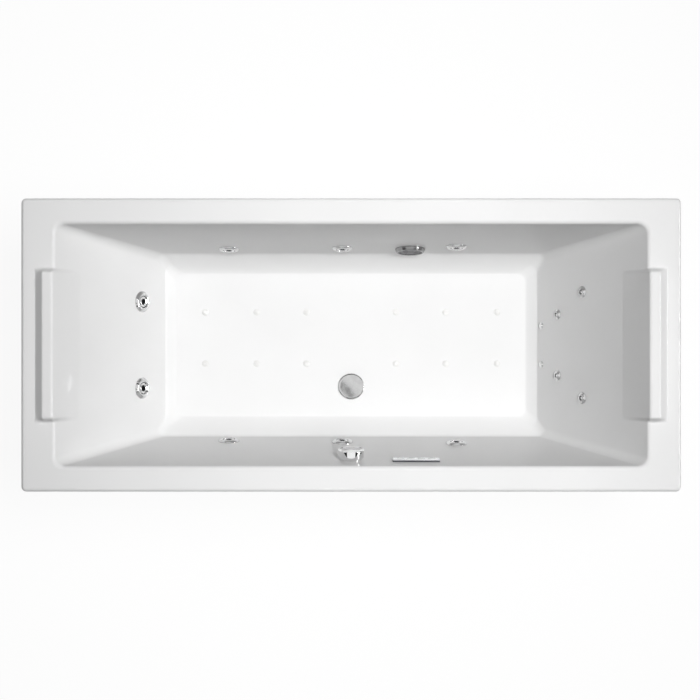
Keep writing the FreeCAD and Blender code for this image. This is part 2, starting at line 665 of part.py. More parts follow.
def waste_flange():
    """The floor ring with its sleeve, and a three-spoked guide for the plug's stem."""
    sleeve, rim = WASTE_SLEEVE_RADIUS, WASTE_FLANGE_RADIUS
    bore = sleeve - 4
    low = FLOOR_Z - WASTE_SLEEVE_LENGTH
    guide = (low + 2, low + 8)
    body = fuse(stack(FITTING_SIDES, (sleeve, low), (sleeve, FLOOR_Z)),
                stack(FITTING_SIDES, (rim, FLOOR_Z), (rim - 2, FLOOR_Z + 2)))
    body = body.cut(stack(FITTING_SIDES, (bore, low), (bore, FLOOR_Z + 2)))
    spokes = [box(0, bore + 1, -1.5, 1.5, *guide) for _ in range(3)]
    for number, spoke in enumerate(spokes):
        spoke.rotate(Vector(), UP, number * 120)
    hub = stack(HIDDEN_SIDES, (PLUG_STEM + 5, guide[0]), (PLUG_STEM + 5, guide[1]))
    return cut(fuse(body, hub, *spokes), flat_prism(HIDDEN_SIDES, 2 * PLUG_STEM + 0.16, *guide))


def waste_trap():
    """Body under the floor: collar, barrel, bottle trap and the two side connections."""
    inside = over_flats(FITTING_SIDES, WASTE_SLEEVE_RADIUS + 0.2)
    bottom, top = (FLOOR_Z - drop for drop in TRAP_BARREL_DROP)
    neck, collar = WASTE_SLEEVE_RADIUS + 7, WASTE_SLEEVE_RADIUS + 15
    cable = box(CABLE_X - 6, CABLE_X + 6, -TRAP_BARREL + 2, -8, OVERFLOW_INLET_Z - 6, OVERFLOW_INLET_Z + 6)
    solid = fuse(stack(FITTING_SIDES, (neck, top), (neck, UNDER_FLOOR - 6)),
                 stack(FITTING_SIDES, (collar, UNDER_FLOOR - 6), (collar, UNDER_FLOOR)),
                 stack(FITTING_SIDES, (TRAP_BARREL, bottom), (TRAP_BARREL, top)),
                 y_pipe(OVERFLOW_PIPE_RADIUS, 0, OVERFLOW_INLET_Z, -TRAP_BARREL - 12, -20, HIDDEN_SIDES),
                 y_pipe(WASTE_PIPE_RADIUS, 0, OUTLET_Z, 20, TRAP_BARREL + 14), cable)
    return cut(solid, stack(FITTING_SIDES, (inside, UNDER_FLOOR - 44), (inside, UNDER_FLOOR)))


def make_waste():
    centre = Placement(Vector(0, WASTE_Y, 0), Rotation())
    under = FLOOR_Z + PLUG_LIFT_GAP
    rim = WASTE_CAP_RADIUS
    cap = stack(RING_SIDES, (rim, under), (rim, under + 3), (rim - 7, under + 7))
    stem = stack(HIDDEN_SIDES, (PLUG_STEM, FLOOR_Z - PLUG_STEM_LENGTH), (PLUG_STEM, under))
    node("waste_flange", place(waste_flange(), centre))
    node("waste_plug", place(fuse(cap, stem), centre))
    node("waste_trap", place(waste_trap(), centre))
    end = HALF_WIDTH - OUTLET_MARGIN
    shoulder = end - SPIGOT_LENGTH
    pipe = y_pipe(WASTE_PIPE_RADIUS + 1, 0, OUTLET_Z, WASTE_Y + TRAP_BARREL + 14, shoulder)
    spigot = rod(WASTE_PIPE_RADIUS, (0, shoulder, OUTLET_Z), (0, end, OUTLET_Z))
    inside = y_pipe(WASTE_PIPE_RADIUS - 2.5, 0, OUTLET_Z, shoulder - 60, end)
    node("waste_outlet_pipe", cut(fuse(pipe, spigot), inside))


def make_overflow():
    seat = wall_seat("front", 0, OVERFLOW_Z)
    neck, rim = KNOB_RADIUS - 13, KNOB_RADIUS - 6
    base = fuse(stack(FITTING_SIDES, (neck, -SHELL - 4), (neck, 0)), stack(FITTING_SIDES, (rim, 0), (rim, 5)))
    spindle_hole = flat_prism(HIDDEN_SIDES, 2 * KNOB_SPINDLE + 0.16, -30, 30)
    knob = stack(RING_SIDES, (KNOB_RADIUS, 5.3), (KNOB_RADIUS, KNOB_PROUD - 2), (KNOB_RADIUS - 2, KNOB_PROUD))
    spindle = stack(HIDDEN_SIDES, (KNOB_SPINDLE, -SHELL - 3), (KNOB_SPINDLE, 5.3))
    node("overflow_base", place(cut(base, spindle_hole), seat))
    node("overflow_knob", place(fuse(knob, spindle), seat))
    front = -SHELL - 4
    flange = stack(FITTING_SIDES, (KNOB_RADIUS, front), (KNOB_RADIUS, -SHELL))
    housing = flat_prism(HIDDEN_SIDES, 56, -40, front)
    pocket = flat_prism(FITTING_SIDES, 2 * neck + 0.4, front - 0.2, -SHELL)
    boss = box(-CABLE_X - 5, -CABLE_X + 5, -40, 0, -31, -19)
    body = place(cut(fuse(flange, housing, boss), pocket), seat)
    centre = at_depth(seat, OVERFLOW_PIPE_RADIUS + 7)
    upper_y, lower_y = (margin - HALF_WIDTH for margin in OVERFLOW_PIPE_MARGIN)
    corners = [Vector(0, upper_y, RIM_HEIGHT - OVERFLOW_PIPE_TURN), Vector(0, upper_y, FLOOR_Z),
               Vector(0, lower_y, OVERFLOW_INLET_Z)]
    start = centre + (corners[0] - centre).normalize() * 40
    stub = pipe_run([centre, start], OVERFLOW_PIPE_RADIUS, 0)
    inlet = Vector(0, WASTE_Y - TRAP_BARREL - 12, OVERFLOW_INLET_Z)
    node("overflow_body", fuse(body, stub))
    node("overflow_pipe", pipe_run([start, *corners, inlet], OVERFLOW_PIPE_RADIUS, 45))
    aside = Vector(CABLE_X, 0, 0)
    cable = [seat.multVec(Vector(-CABLE_X, depth, -25)) for depth in (-40, -58)]
    cable += [corner + aside for corner in corners]
    cable.append(Vector(CABLE_X, WASTE_Y - TRAP_BARREL + 2, OVERFLOW_INLET_Z))
    node("bowden_cable", pipe_run(cable, CABLE_RADIUS, 40, HOSE_SIDES))


# ---------------------------------------------------------------- control panel

def make_panel():
    seat = panel_seat()
    length, height, thick = PANEL_SIZE
    wide, tall = BUTTON_SIZE
    places = [(number - 1.5) * BUTTON_PITCH for number in range(4)]
    gap = 0.3
    holes = [box(x - wide / 2 - gap, x + wide / 2 + gap, -tall / 2 - gap, tall / 2 + gap, -1, thick + 1)
             for x in places]
    plate, corners = plate_with_corners(length, height, 0, thick)
    node("control_panel", place(cut(plate.makeChamfer(PANEL_CORNER, corners), *holes), seat))
    for number, x in enumerate(places, 1):
        cap = box(x - wide / 2, x + wide / 2, -tall / 2, tall / 2, BUTTON_TRAVEL + gap, thick + BUTTON_PROUD)
        node("panel_button_%d" % number, place(cap, seat))
    node("panel_housing", place(fuse(box(-49, 49, -8, 8, -SHELL, 0),
                                     box(-58, 58, -13, 13, -SHELL - 16, -SHELL)), seat))


# ---------------------------------------------------------------- support frame

def square_tube(x0, x1, y0, y1, z0, z1, axis):
    """A square tube with 2 mm walls, open at both ends along the given axis."""
    wall = 2.0
    inset = [0 if axis == "x" else wall, 0 if axis == "y" else wall, 0 if axis == "z" else wall]
    return box(x0, x1, y0, y1, z0, z1).cut(
        box(x0 + inset[0], x1 - inset[0], y0 + inset[1], y1 - inset[1], z0 + inset[2], z1 - inset[2]))


def make_frame():
    half = RAIL / 2
    rail_end = HALF_LENGTH - LONG_RAIL_SHORT
    end_rail = HALF_LENGTH - END_RAIL_MARGIN
    outer, inner = (share * HALF_LENGTH for share in CROSS_RAIL_PLACES)
    studs = [Vector(share * HALF_LENGTH, y, 0) for y in (LONG_RAIL_Y, -LONG_RAIL_Y) for share in FOOT_PLACES]
    clear = over_flats(HIDDEN_SIDES, STUD_RADIUS + STUD_GAP)
    stud_hole = stack(HIDDEN_SIDES, (clear, LONG_RAIL_BOTTOM - NUT_THICK), (clear, LONG_RAIL_BOTTOM + 5))
    stud_holes = [place(stud_hole, Placement(spot, Rotation())) for spot in studs]
    long_rails = [square_tube(-rail_end, rail_end, y - half, y + half, LONG_RAIL_BOTTOM, LONG_RAIL_TOP, "x")
                  for y in (LONG_RAIL_Y, -LONG_RAIL_Y)]
    node("frame_long_rails", *[cut(rail, *stud_holes) for rail in long_rails])
    reach = LONG_RAIL_Y + half
    node("frame_cross_rails", *[one_solid(square_tube(x - half, x + half, -reach, reach, LONG_RAIL_TOP,
                                                      CROSS_RAIL_TOP, "y"))
                               for x in (-end_rail, -outer, -inner, inner, outer, end_rail)])
    part_width = UPRIGHT / 2
    node("frame_uprights", *[one_solid(square_tube(x - part_width, x + part_width, y - part_width,
                                                   y + part_width, CROSS_RAIL_TOP, BATTEN_BOTTOM, "z"))
                             for x in (-end_rail, -inner, inner, end_rail) for y in (UPRIGHT_Y, -UPRIGHT_Y)])
    thin = BATTEN / 2
    end = HALF_LENGTH - SHELL - 2
    end_x = HALF_LENGTH - BATTEN_MARGIN + thin
    sides = [box(-end, end, y - thin, y + thin, BATTEN_BOTTOM, BATTEN_TOP) for y in (UPRIGHT_Y, -UPRIGHT_Y)]
    short = UPRIGHT_Y - thin
    ends = [box(x - thin, x + thin, -short, short, BATTEN_BOTTOM, BATTEN_TOP)
            for x in (end_x, -end_x)]
    node("rim_battens", *sides, *ends)
    for number, spot in enumerate(studs, 1):
        long, wide = FOOT_SIZE[0] / 2, FOOT_SIZE[1] / 2
        pad = box(-long, long, -wide, wide, 0, FOOT_THICK)
        stud = stack(HIDDEN_SIDES, (STUD_RADIUS, FOOT_THICK), (STUD_RADIUS, LONG_RAIL_BOTTOM + STUD_IN_RAIL))
        node("foot_%d" % number, place(fuse(pad, stud), Placement(spot, Rotation())))
    nut = cut(flat_prism(6, NUT_ACROSS, LONG_RAIL_BOTTOM - NUT_THICK, LONG_RAIL_BOTTOM), stud_hole)
    node("foot_locknuts", *[place(nut, Placement(spot, Rotation())) for spot in studs])


def make_boards():
    """Three boards bonded under the basin floor, with a slot between them for each injector row."""
    slot = BOARD_SLOT / 2
    high, low = FLOOR_INJECTOR_Y
    length = half_length_at(FLOOR_Z) - BOARD_SHORT
    width = half_width_at(FLOOR_Z) - BOARD_NARROW
    spans = [(-width, low - slot), (low + slot, high - slot), (high + slot, width)]
    boards = [box(-length, length, y0, y1, UNDER_FLOOR - BOARD, UNDER_FLOOR) for y0, y1 in spans]
    clear = TRAP_BARREL
    waste_hole = place(stack(FITTING_SIDES, (clear, UNDER_FLOOR - BOARD), (clear, UNDER_FLOOR)),
                       Placement(Vector(0, WASTE_Y, 0), Rotation()))
    node("base_boards", cut(boards[0], waste_hole), *boards[1:])


# ---------------------------------------------------------------- pump, blower and pipes

def axis_y(x, z):
    """Turns a piece made about local Z so that its axis runs along +Y at the given x and z."""
    return Placement(Vector(x, 0, z), Rotation(Vector(1, 0, 0), -90))


def y_pipe(radius, x, z, y0, y1, sides=FITTING_SIDES):
    return place(stack(sides, (radius, y0), (radius, y1)), axis_y(x, z))


def turned_blades(count, inner, outer, z0, z1):
    """Flat radial blades about local Z."""
    blades = [box(inner, outer, -1.5, 1.5, z0, z1) for _ in range(count)]
    for number, blade in enumerate(blades):
        blade.rotate(Vector(), UP, number * 360 / count)
    return blades


def make_pump():
    bore = over_flats(FITTING_SIDES, SHAFT_RADIUS + 0.08)
    shaft_bore = y_pipe(bore, PUMP_X, PUMP_Z, 30, CHAMBER_Y[0])
    motor = y_pipe(MOTOR_RADIUS, PUMP_X, PUMP_Z, *MOTOR_Y)
    foot = box(PUMP_X - 55, PUMP_X + 55, MOTOR_Y[0] + 20, MOTOR_Y[1] - 20, SHELF_TOP, PUMP_Z - 40)
    terminals = box(PUMP_X - 35, PUMP_X + 35, MOTOR_Y[0] + 30, MOTOR_Y[1] - 40, PUMP_Z + 50, PUMP_Z + 92)
    node("pump_motor", cut(fuse(motor, foot, terminals), shaft_bore))
    casing = y_pipe(VOLUTE_RADIUS, PUMP_X, PUMP_Z, *VOLUTE_Y)
    inlet = y_pipe(SUCTION_PIPE_RADIUS + 1, PUMP_X, PUMP_Z, VOLUTE_Y[1], INLET_END_Y)
    manifold = back_pipe()
    outlet_y = sum(VOLUTE_Y) / 2
    outlet = link(Vector(PUMP_X, outlet_y, manifold.z), Vector(manifold.x - PUMP_STUB, outlet_y, manifold.z),
                  WATER_PIPE_RADIUS)
    chamber = y_pipe(CHAMBER_RADIUS, PUMP_X, PUMP_Z, *CHAMBER_Y)
    throat = y_pipe(20, PUMP_X, PUMP_Z, CHAMBER_Y[1], INLET_END_Y)
    node("pump_volute", cut(fuse(casing, inlet, outlet), chamber, throat, shaft_bore))
    disc_y = CHAMBER_Y[0] + 3
    shaft = stack(FITTING_SIDES, (SHAFT_RADIUS, 32), (SHAFT_RADIUS, disc_y))
    disc = stack(FITTING_SIDES, (IMPELLER_RADIUS, disc_y), (IMPELLER_RADIUS, disc_y + 4))
    vanes = turned_blades(6, 9, IMPELLER_RADIUS - 3, disc_y + 4, disc_y + 18)
    node("pump_impeller", place(fuse(shaft, disc, *vanes), axis_y(PUMP_X, PUMP_Z)))


def make_blower():
    floor = SHELF_TOP
    top = floor + BLOWER_HEIGHT
    centre = Placement(Vector(BLOWER_X, 0, 0), Rotation())
    inner = BLOWER_RADIUS - 10
    casing = stack(FITTING_SIDES, (BLOWER_RADIUS, floor), (BLOWER_RADIUS, top))
    duct = link(Vector(MANIFOLD_X[1] - BLOWER_X, 0, floor + 34), Vector(-40, 0, floor + 34), 16)
    chamber = stack(FITTING_SIDES, (inner, floor + 10), (inner, top - 10))
    intake = stack(FITTING_SIDES, (30, top - 10), (30, top))
    node("blower_housing", place(cut(fuse(casing, duct), chamber, intake), centre))
    post = stack(HIDDEN_SIDES, (10, floor + 10.3), (10, top - 26))
    disc = stack(FITTING_SIDES, (inner - 4, floor + 20), (inner - 4, floor + 23))
    blades = turned_blades(8, 34, inner - 6, floor + 23, top - 16)
    node("blower_fan", place(fuse(post, disc, *blades), centre))
    node("air_manifold", box(*MANIFOLD_X, -MANIFOLD_HALF_WIDTH, MANIFOLD_HALF_WIDTH, *MANIFOLD_Z))


def make_shelves():
    reach = LONG_RAIL_Y + RAIL / 2
    node("equipment_shelves", *[box(x - SHELF_HALF_WIDTH, x + SHELF_HALF_WIDTH, -reach, reach,
                                    LONG_RAIL_TOP, SHELF_TOP) for x in (PUMP_X, BLOWER_X)])
    length, width, height = CONTROL_BOX
    right = HALF_LENGTH - CONTROL_BOX_MARGIN[0]
    near = CONTROL_BOX_MARGIN[1] - HALF_WIDTH
    node("control_box", box(right - length, right, near, near + width, SHELF_TOP, SHELF_TOP + height))
    spot = Vector(right, near + width / 2, SHELF_TOP + 30)
    gland = link(spot, spot + Vector(GLAND_LENGTH, 0, 0), 11)
    node("cable_gland", cut(gland, Part.makeCylinder(5, 20, spot + Vector(4, 0, 0), Vector(1, 0, 0))))


def back_pipe():
    return at_depth(wall_seat("left", 0, BACK_JET_Z), JET_PIPE_DEPTH)


def make_water_pipes():
    pipes = []
    half = JET_BODY_ACROSS / 2
    centre = back_pipe()
    inner, outer = BACK_JET_Y - half, BACK_JET_Y + half
    stub_y = sum(VOLUTE_Y) / 2
    stub = Vector(centre.x, stub_y, centre.z)
    tee = fuse(y_pipe(WATER_PIPE_RADIUS, centre.x, centre.z, -inner, inner, HIDDEN_SIDES),
               link(stub - Vector(PUMP_STUB, 0, 0), stub, WATER_PIPE_RADIUS))
    pipes.append(tee)
    for side, sign in (("back", 1), ("front", -1)):
        middles = [at_depth(wall_seat(side, x, z), JET_PIPE_DEPTH) for x, z in side_jets()]
        first = middles[0]
        turn_x = first.x - 150
        pipes.append(pipe_run([(centre.x, sign * outer, centre.z), (centre.x, first.y, centre.z),
                               (turn_x, first.y, centre.z)], WATER_PIPE_RADIUS, 50))
        step = Vector(half, 0, 0)
        pipes.append(link(Vector(turn_x, first.y, centre.z), first - step, WATER_PIPE_RADIUS))
        pipes.append(link(middles[0] + step, middles[1] - step, WATER_PIPE_RADIUS))
        here, there = middles[1] + step, middles[2] - step
        if side == "back":
            low_x, up_x, down_x = (SUCTION_X + step for step in OVER_SUCTION_X)
            over_z = SUCTION_Z + OVER_SUCTION_RISE
            pipes.append(pipe_run([here, (low_x, here.y, here.z), (up_x, here.y, over_z),
                                   (down_x, there.y, over_z), (there.x - 18, there.y, there.z), there],
                                  WATER_PIPE_RADIUS, 28))
        else:
            pipes.append(link(here, there, WATER_PIPE_RADIUS))
    node("pressure_pipes", *pipes)
    node("small_jet_pipes", *small_jet_pipes())


def small_jet_pipes():
    """Water for the small jets: one pipe from each side, and the links between the small jets."""
    pipes = []
    half = MINI_BODY_ACROSS / 2
    (high_y, high_rise, _), (low_y, low_rise, _) = MINI_JETS
    high = at_depth(wall_seat("right", 0, above_floor(high_rise)), MINI_PIPE_DEPTH)
    low = at_depth(wall_seat("right", 0, above_floor(low_rise)), MINI_PIPE_DEPTH)
    last_x, last_z = side_jets()[-1]
    for side, sign in (("back", 1), ("front", -1)):
        start = at_depth(wall_seat(side, last_x, last_z), JET_PIPE_DEPTH)
        start.x += JET_BODY_ACROSS / 2
        pipes.append(pipe_run([start, (start.x + 190, start.y, start.z), (high.x, start.y, high.z),
                               (high.x, sign * (high_y + half), high.z)], SMALL_PIPE_RADIUS, 40))
        between = sign * (high_y + low_y) / 2
        pipes.append(pipe_run([(high.x, sign * (high_y - half), high.z), (high.x, between, high.z),
                               (low.x, between, low.z), (low.x, sign * (low_y + half), low.z)], 6, 9))
    return pipes


def make_air_hoses():
    hoses = []
    half = INJECTOR_BLOCK / 2
    z = UNDER_FLOOR - INJECTOR_BLOCK_DEPTH / 2
    stations = injector_stations() + [MANIFOLD_X[0] + half]
    for y in FLOOR_INJECTOR_Y:
        for here, there in zip(stations, stations[1:]):
            hoses.append(link(Vector(here + half, y, z), Vector(there - half, y, z), AIR_HOSE_RADIUS,
                              HOSE_SIDES))
    above = box(0, BATH_LENGTH, -BATH_WIDTH, BATH_WIDTH, MANIFOLD_Z[1], RIM_HEIGHT)
    for sign in (1, -1):
        seat = wall_seat("right", sign * END_INJECTOR[0], above_floor(END_INJECTOR[1]))
        back = -SHELL - INJECTOR_BLOCK_DEPTH
        tube = stack(HOSE_SIDES, (AIR_HOSE_RADIUS, back - 80), (AIR_HOSE_RADIUS, back))
        hoses.append(one_solid(place(tube, seat).common(above)))
    node("injector_hoses", *hoses)
    links = []
    reach = (JET_BODY_DEPTH + JET_HUB_DEPTH) / 2
    step = Vector(JET_HUB_ACROSS / 2, 0, 0)
    for side, sign in (("back", 1), ("front", -1)):
        hubs = [at_depth(wall_seat(side, x, z), reach) for x, z in side_jets()]
        for here, there in zip(hubs, hubs[1:]):
            links.append(link(here + step, there - step, AIR_LINK_RADIUS))
        last = hubs[-1] + step
        x = sum(MANIFOLD_X) / 2
        z = sum(MANIFOLD_Z) / 2
        links.append(pipe_run([last, (x, last.y, last.z), (x, last.y, z), (x, sign * MANIFOLD_HALF_WIDTH, z)],
                              AIR_LINK_RADIUS, 50))
    node("jet_air_pipes", *links)


make_shell()
make_jets()
make_mini_jets()
make_injectors()
make_suction()
make_waste()
make_overflow()
make_panel()
make_frame()
make_boards()
make_shelves()
make_pump()
make_blower()
make_water_pipes()
make_air_hoses()

os.makedirs("parts", exist_ok=True)
for name, shape in parts.items():
    shape.exportStep("parts/%s.step" % name)
    print(name, len(shape.Solids), "valid" if shape.isValid() else "NOT VALID", round(shape.Volume / 1000, 1))
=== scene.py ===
import json
import math

import bmesh
import bpy
from mathutils import Matrix, Vector


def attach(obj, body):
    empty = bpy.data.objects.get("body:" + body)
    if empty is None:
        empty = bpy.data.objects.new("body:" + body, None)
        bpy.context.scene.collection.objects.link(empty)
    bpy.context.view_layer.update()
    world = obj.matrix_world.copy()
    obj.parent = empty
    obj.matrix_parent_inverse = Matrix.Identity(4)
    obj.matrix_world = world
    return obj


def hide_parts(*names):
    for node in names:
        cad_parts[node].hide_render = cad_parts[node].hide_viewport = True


# Looks of a built-in jetted bath. Shapes are written in millimetres and made in metres.
# +X runs towards the end with the small jets, +Y away from the overflow knob, +Z is up.

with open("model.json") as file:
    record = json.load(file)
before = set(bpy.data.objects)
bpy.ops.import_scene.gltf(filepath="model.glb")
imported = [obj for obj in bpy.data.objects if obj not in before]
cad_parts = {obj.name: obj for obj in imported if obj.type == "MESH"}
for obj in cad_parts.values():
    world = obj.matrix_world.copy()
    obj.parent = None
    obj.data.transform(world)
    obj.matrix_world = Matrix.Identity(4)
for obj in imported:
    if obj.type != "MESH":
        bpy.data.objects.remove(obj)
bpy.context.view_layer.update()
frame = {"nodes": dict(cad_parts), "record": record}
nodes = frame["nodes"]
MM = 0.001

# ---- the tub, as in the part ----
LENGTH, WIDTH, RIM = 1800.0, 800.0, 600.0
SHELL = 6.0                                     # thickness of the moulding
LIP_DEPTH, LIP_CORNER, LIP_ROUND = 36.0, 14.0, 9.0
BASIN_HALF_LENGTH, BASIN_HALF_WIDTH = 810.0, 331.0      # at the rim
BASIN_CORNER = 25.0
FLOOR = 170.0
END_LEAN, SIDE_LEAN = 31.5, 8.75                # degrees
END_FOOT, SIDE_FOOT = 40.0, 60.0                # rounding at the foot of the walls
FOOT_SLANT = 0.75           # how far that rounding is flattened inside, for the band seen there
RIM_ROUND = 12.0
PAD_LOW = 500.0             # the headrest blends out above this height
PAD_FLAT_X = 880.0          # and inside this line on the rim
PAD_PROFILE = ((880, 600), (861, 600), (838, 622), (811, 622), (756, 512), (748.7, 500))
PAD_ROUNDS = (6, 7, 9, 30)
PAD_SIDE = (195.0, 213.0)   # half widths where its side slope ends and begins

# ---- fittings, as in the part ----
JETS = {-359.0: 285.0, -26.0: 298.0, 307.0: 320.0}      # x and height of the jets in the long walls
BACK_JET = (127.0, 282.0)                       # y and height of those in the backrest
MINI_JETS = ((153.0, 365.0, 17.0), (90.0, 270.0, 15.5))     # y, height and radius
INJECTOR_X, INJECTOR_Y = (135.0, 285.0, 440.0), (99.0, -56.0)
END_INJECTOR = (58.0, 206.0)                    # y and height
SUCTION = (173.0, 284.0, 44.0)                  # x, height and radius
WASTE_Y = -125.0
KNOB = (515.0, 36.0)                            # height and radius
PANEL = (180.0, 531.0)                          # x and height
JET_BORE, MINI_JET_EDGE, SUCTION_BORE, WASTE_BORE = 22.9, 5.2, 32.2, 25.5   # holes in the moulding

# ---- what is behind and below, as in the part ----
PUMP = (-750.0, 200.0)                          # x and height of the shaft
PUMP_OUTLET_Y = 77.5
BLOWER_X = 750.0
MANIFOLD = (610.0, 650.0)                       # from x to x
CONTROL_BOX = ((690, 800), (-330, -210), (125, 220))
FOOT_X = (-640, 100, 640)
WATER_DEPTH, AIR_DEPTH = 36.0, 60.0             # pipes behind the face of the wall
WATER_PIPE = 16.0                               # radius
SUCTION_LINE_Y, SUCTION_LINE_Z = 314.0, 200.0
TRAP_IN, TRAP_OUT = 104.0, 62.0                 # heights of the trap's two pipes
LONG_RAIL_Z, CROSS_RAIL_Z, UPRIGHT_FOOT, BATTEN_Z = 104, 134, 149, 574
RAIL_SIZE, UPRIGHT_SIZE = 30, 25
CROSS_RAIL_X, UPRIGHT_X = (-857, -510, -210, 210, 510, 857), (-857, -210, 210, 857)
LONG_RAIL_Y, FRAME_Y = 370, 372.5               # middle of the long rails, and of the uprights
SHELF_Y = 385                                   # half width of the frame over its rails
BOARDS = ((-225, -78), (-34, 77), (121, 225))   # from y to y
BATTEN = 20                                     # width and height of the timber


# ---------------------------------------------------------------- materials

class Wire:
    """One output of a node, with arithmetic that adds the nodes it needs."""

    def __init__(self, tree, socket):
        self.tree = tree
        self.socket = socket

    def maths(self, operation, *others):
        return self.tree.node("ShaderNodeMath", {"operation": operation},
                                dict(enumerate((self,) + others)))

    def __add__(self, other):
        return self.maths("ADD", other)

    def __sub__(self, other):
        return self.maths("SUBTRACT", other)

    def __mul__(self, other):
        return self.maths("MULTIPLY", other)

    def __rsub__(self, other):
        return self.tree.node("ShaderNodeMath", {"operation": "SUBTRACT"}, {0: other, 1: self})

    __radd__ = __add__
    __rmul__ = __mul__

    def span(self, low, high, start=0.0, stop=1.0):
        """This value's run from low to high, spread over start to stop and held there."""
        return self.tree.node("ShaderNodeMapRange", {"clamp": True},
                                {"Value": self, "From Min": low, "From Max": high,
                                 "To Min": start, "To Max": stop})


class Tree:
    """A node tree and the one method that adds nodes to it."""

    def __init__(self, owner):
        owner.use_nodes = True
        self.nodes = owner.node_tree.nodes
        self.links = owner.node_tree.links
        self.nodes.clear()

    def node(self, kind, settings, values, output=0):
        made = self.nodes.new(kind)
        for key, value in settings.items():
            setattr(made, key, value)
        for key, value in values.items():
            if isinstance(value, Wire):
                self.links.new(value.socket, made.inputs[key])
            else:
                made.inputs[key].default_value = value
        return Wire(self, made.outputs[output] if made.outputs else None)

    def seen_rays(self):
        """1 on the rays that see the background: from the camera, and in metal and glass."""
        camera, glossy, through = [self.node("ShaderNodeLightPath", {}, {}, name) for name in
                                   ("Is Camera Ray", "Is Glossy Ray", "Is Transmission Ray")]
        return camera.maths("MAXIMUM", glossy).maths("MAXIMUM", through)


class Finish(Tree):
    """A procedural material."""

    def __init__(self, name, **constants):
        self.material = bpy.data.materials.new(name)
        super().__init__(self.material)
        self.look = self.node("ShaderNodeBsdfPrincipled", {}, {})
        self.shader = self.look.socket.node
        for socket, value in constants.items():
            self.shader.inputs[label(socket)].default_value = value

    def shown(self, look=None):
        """Ends the material with this look, or else with its own, and gives it back."""
        self.node("ShaderNodeOutputMaterial", {}, {"Surface": look or self.look})
        return self.material

    def place(self):
        """Where a point of the surface is, in metres."""
        return self.node("ShaderNodeTexCoord", {}, {}, "Object")

    def noise(self, scale, detail=3.0, stretch=(1, 1, 1), rough=0.55):
        spot = self.node("ShaderNodeMapping", {}, {"Vector": self.place(), "Scale": stretch})
        return self.node("ShaderNodeTexNoise", {}, {"Vector": spot, "Scale": scale, "Detail": detail,
                                                    "Roughness": rough})

    def mix(self, amount, first, second):
        """First colour where amount is 0, second where it is 1."""
        return self.node("ShaderNodeMix", {"data_type": "RGBA"},
                         {0: amount, 6: full(first), 7: full(second)}, 2)

    def feed(self, **sockets):
        for name, value in sockets.items():
            self.links.new(value.socket, self.shader.inputs[label(name)])

    def bump(self, height, strength, distance=0.001):
        self.feed(normal=self.node("ShaderNodeBump", {}, {"Height": height, "Strength": strength,
                                                          "Distance": distance}))


def label(name):
    """The socket's own label, from its name in small letters."""
    return name.replace("_", " ").title().replace("Ior", "IOR")


def full(colour):
    return colour if isinstance(colour, Wire) else (*colour, 1.0)


def grey(level):
    return (level, level, level)


def acrylic():
    skin = Finish("acrylic_white", specular_ior_level=0.0, coat_weight=0.35, coat_roughness=0.05)
    cloud = skin.noise(3.0, 2.0)
    skin.feed(base_color=skin.mix(cloud.span(0.3, 0.7), (0.66, 0.66, 0.66), (0.68, 0.68, 0.68)),
              roughness=skin.noise(35.0).span(0.3, 0.7, 0.10, 0.17))
    skin.bump(skin.noise(55.0, 2.0), 0.04)
    return skin.shown()


def fibreglass():
    """The sprayed glass fibre and resin behind the acrylic."""
    skin = Finish("glassfibre_backing")
    strands = skin.noise(90.0, 5.0, (1, 4, 1.5), 0.7)
    patches = skin.noise(9.0, 4.0)
    tone = skin.mix(patches.span(0.35, 0.65), (0.62, 0.60, 0.50), (0.78, 0.77, 0.70))
    skin.feed(base_color=skin.mix(strands.span(0.5, 0.75), tone, (0.86, 0.86, 0.80)),
              roughness=patches.span(0.3, 0.7, 0.42, 0.7))
    skin.bump(strands + patches * 2.0, 0.7, 0.002)
    return skin.shown()


def chrome(name, rough, level):
    skin = Finish(name, metallic=1.0)
    haze = skin.noise(60.0, 3.0)
    skin.feed(base_color=skin.mix(haze.span(0.35, 0.65), grey(level), grey(level + 0.05)),
              roughness=haze.span(0.3, 0.7, rough * 0.7, rough * 1.5))
    return skin.shown()


def moulded(name, colour, rough, grain=400.0, depth=0.12, coat=0.0):
    """Moulded plastic or rubber with a fine grain and slightly uneven colour."""
    skin = Finish(name, coat_weight=coat)
    cloud = skin.noise(14.0, 3.0)
    darker = tuple(c * 0.86 for c in colour)
    skin.feed(base_color=skin.mix(cloud.span(0.3, 0.7), colour, darker),
              roughness=skin.noise(40.0).span(0.3, 0.7, rough * 0.85, rough * 1.15))
    skin.bump(skin.noise(grain, 2.0), depth, 0.0004)
    return skin.shown()


def galvanised():
    """Zinc on steel tube, with its spangle and a few duller patches."""
    skin = Finish("zinc_coated_steel", metallic=0.85)
    spangle = skin.node("ShaderNodeTexVoronoi", {"feature": "F1"},
                        {"Vector": skin.place(), "Scale": 70.0}, "Color")
    facet = skin.node("ShaderNodeSeparateColor", {}, {"Color": spangle}, 0)
    dull = skin.noise(7.0, 4.0)
    tone = skin.mix(facet.span(0.0, 1.0), (0.50, 0.51, 0.52), (0.66, 0.67, 0.68))
    skin.feed(base_color=skin.mix(dull.span(0.5, 0.75), tone, (0.44, 0.44, 0.43)),
              roughness=facet.span(0.0, 1.0, 0.30, 0.45) + dull * 0.1)
    skin.bump(facet, 0.05, 0.0003)
    return skin.shown()


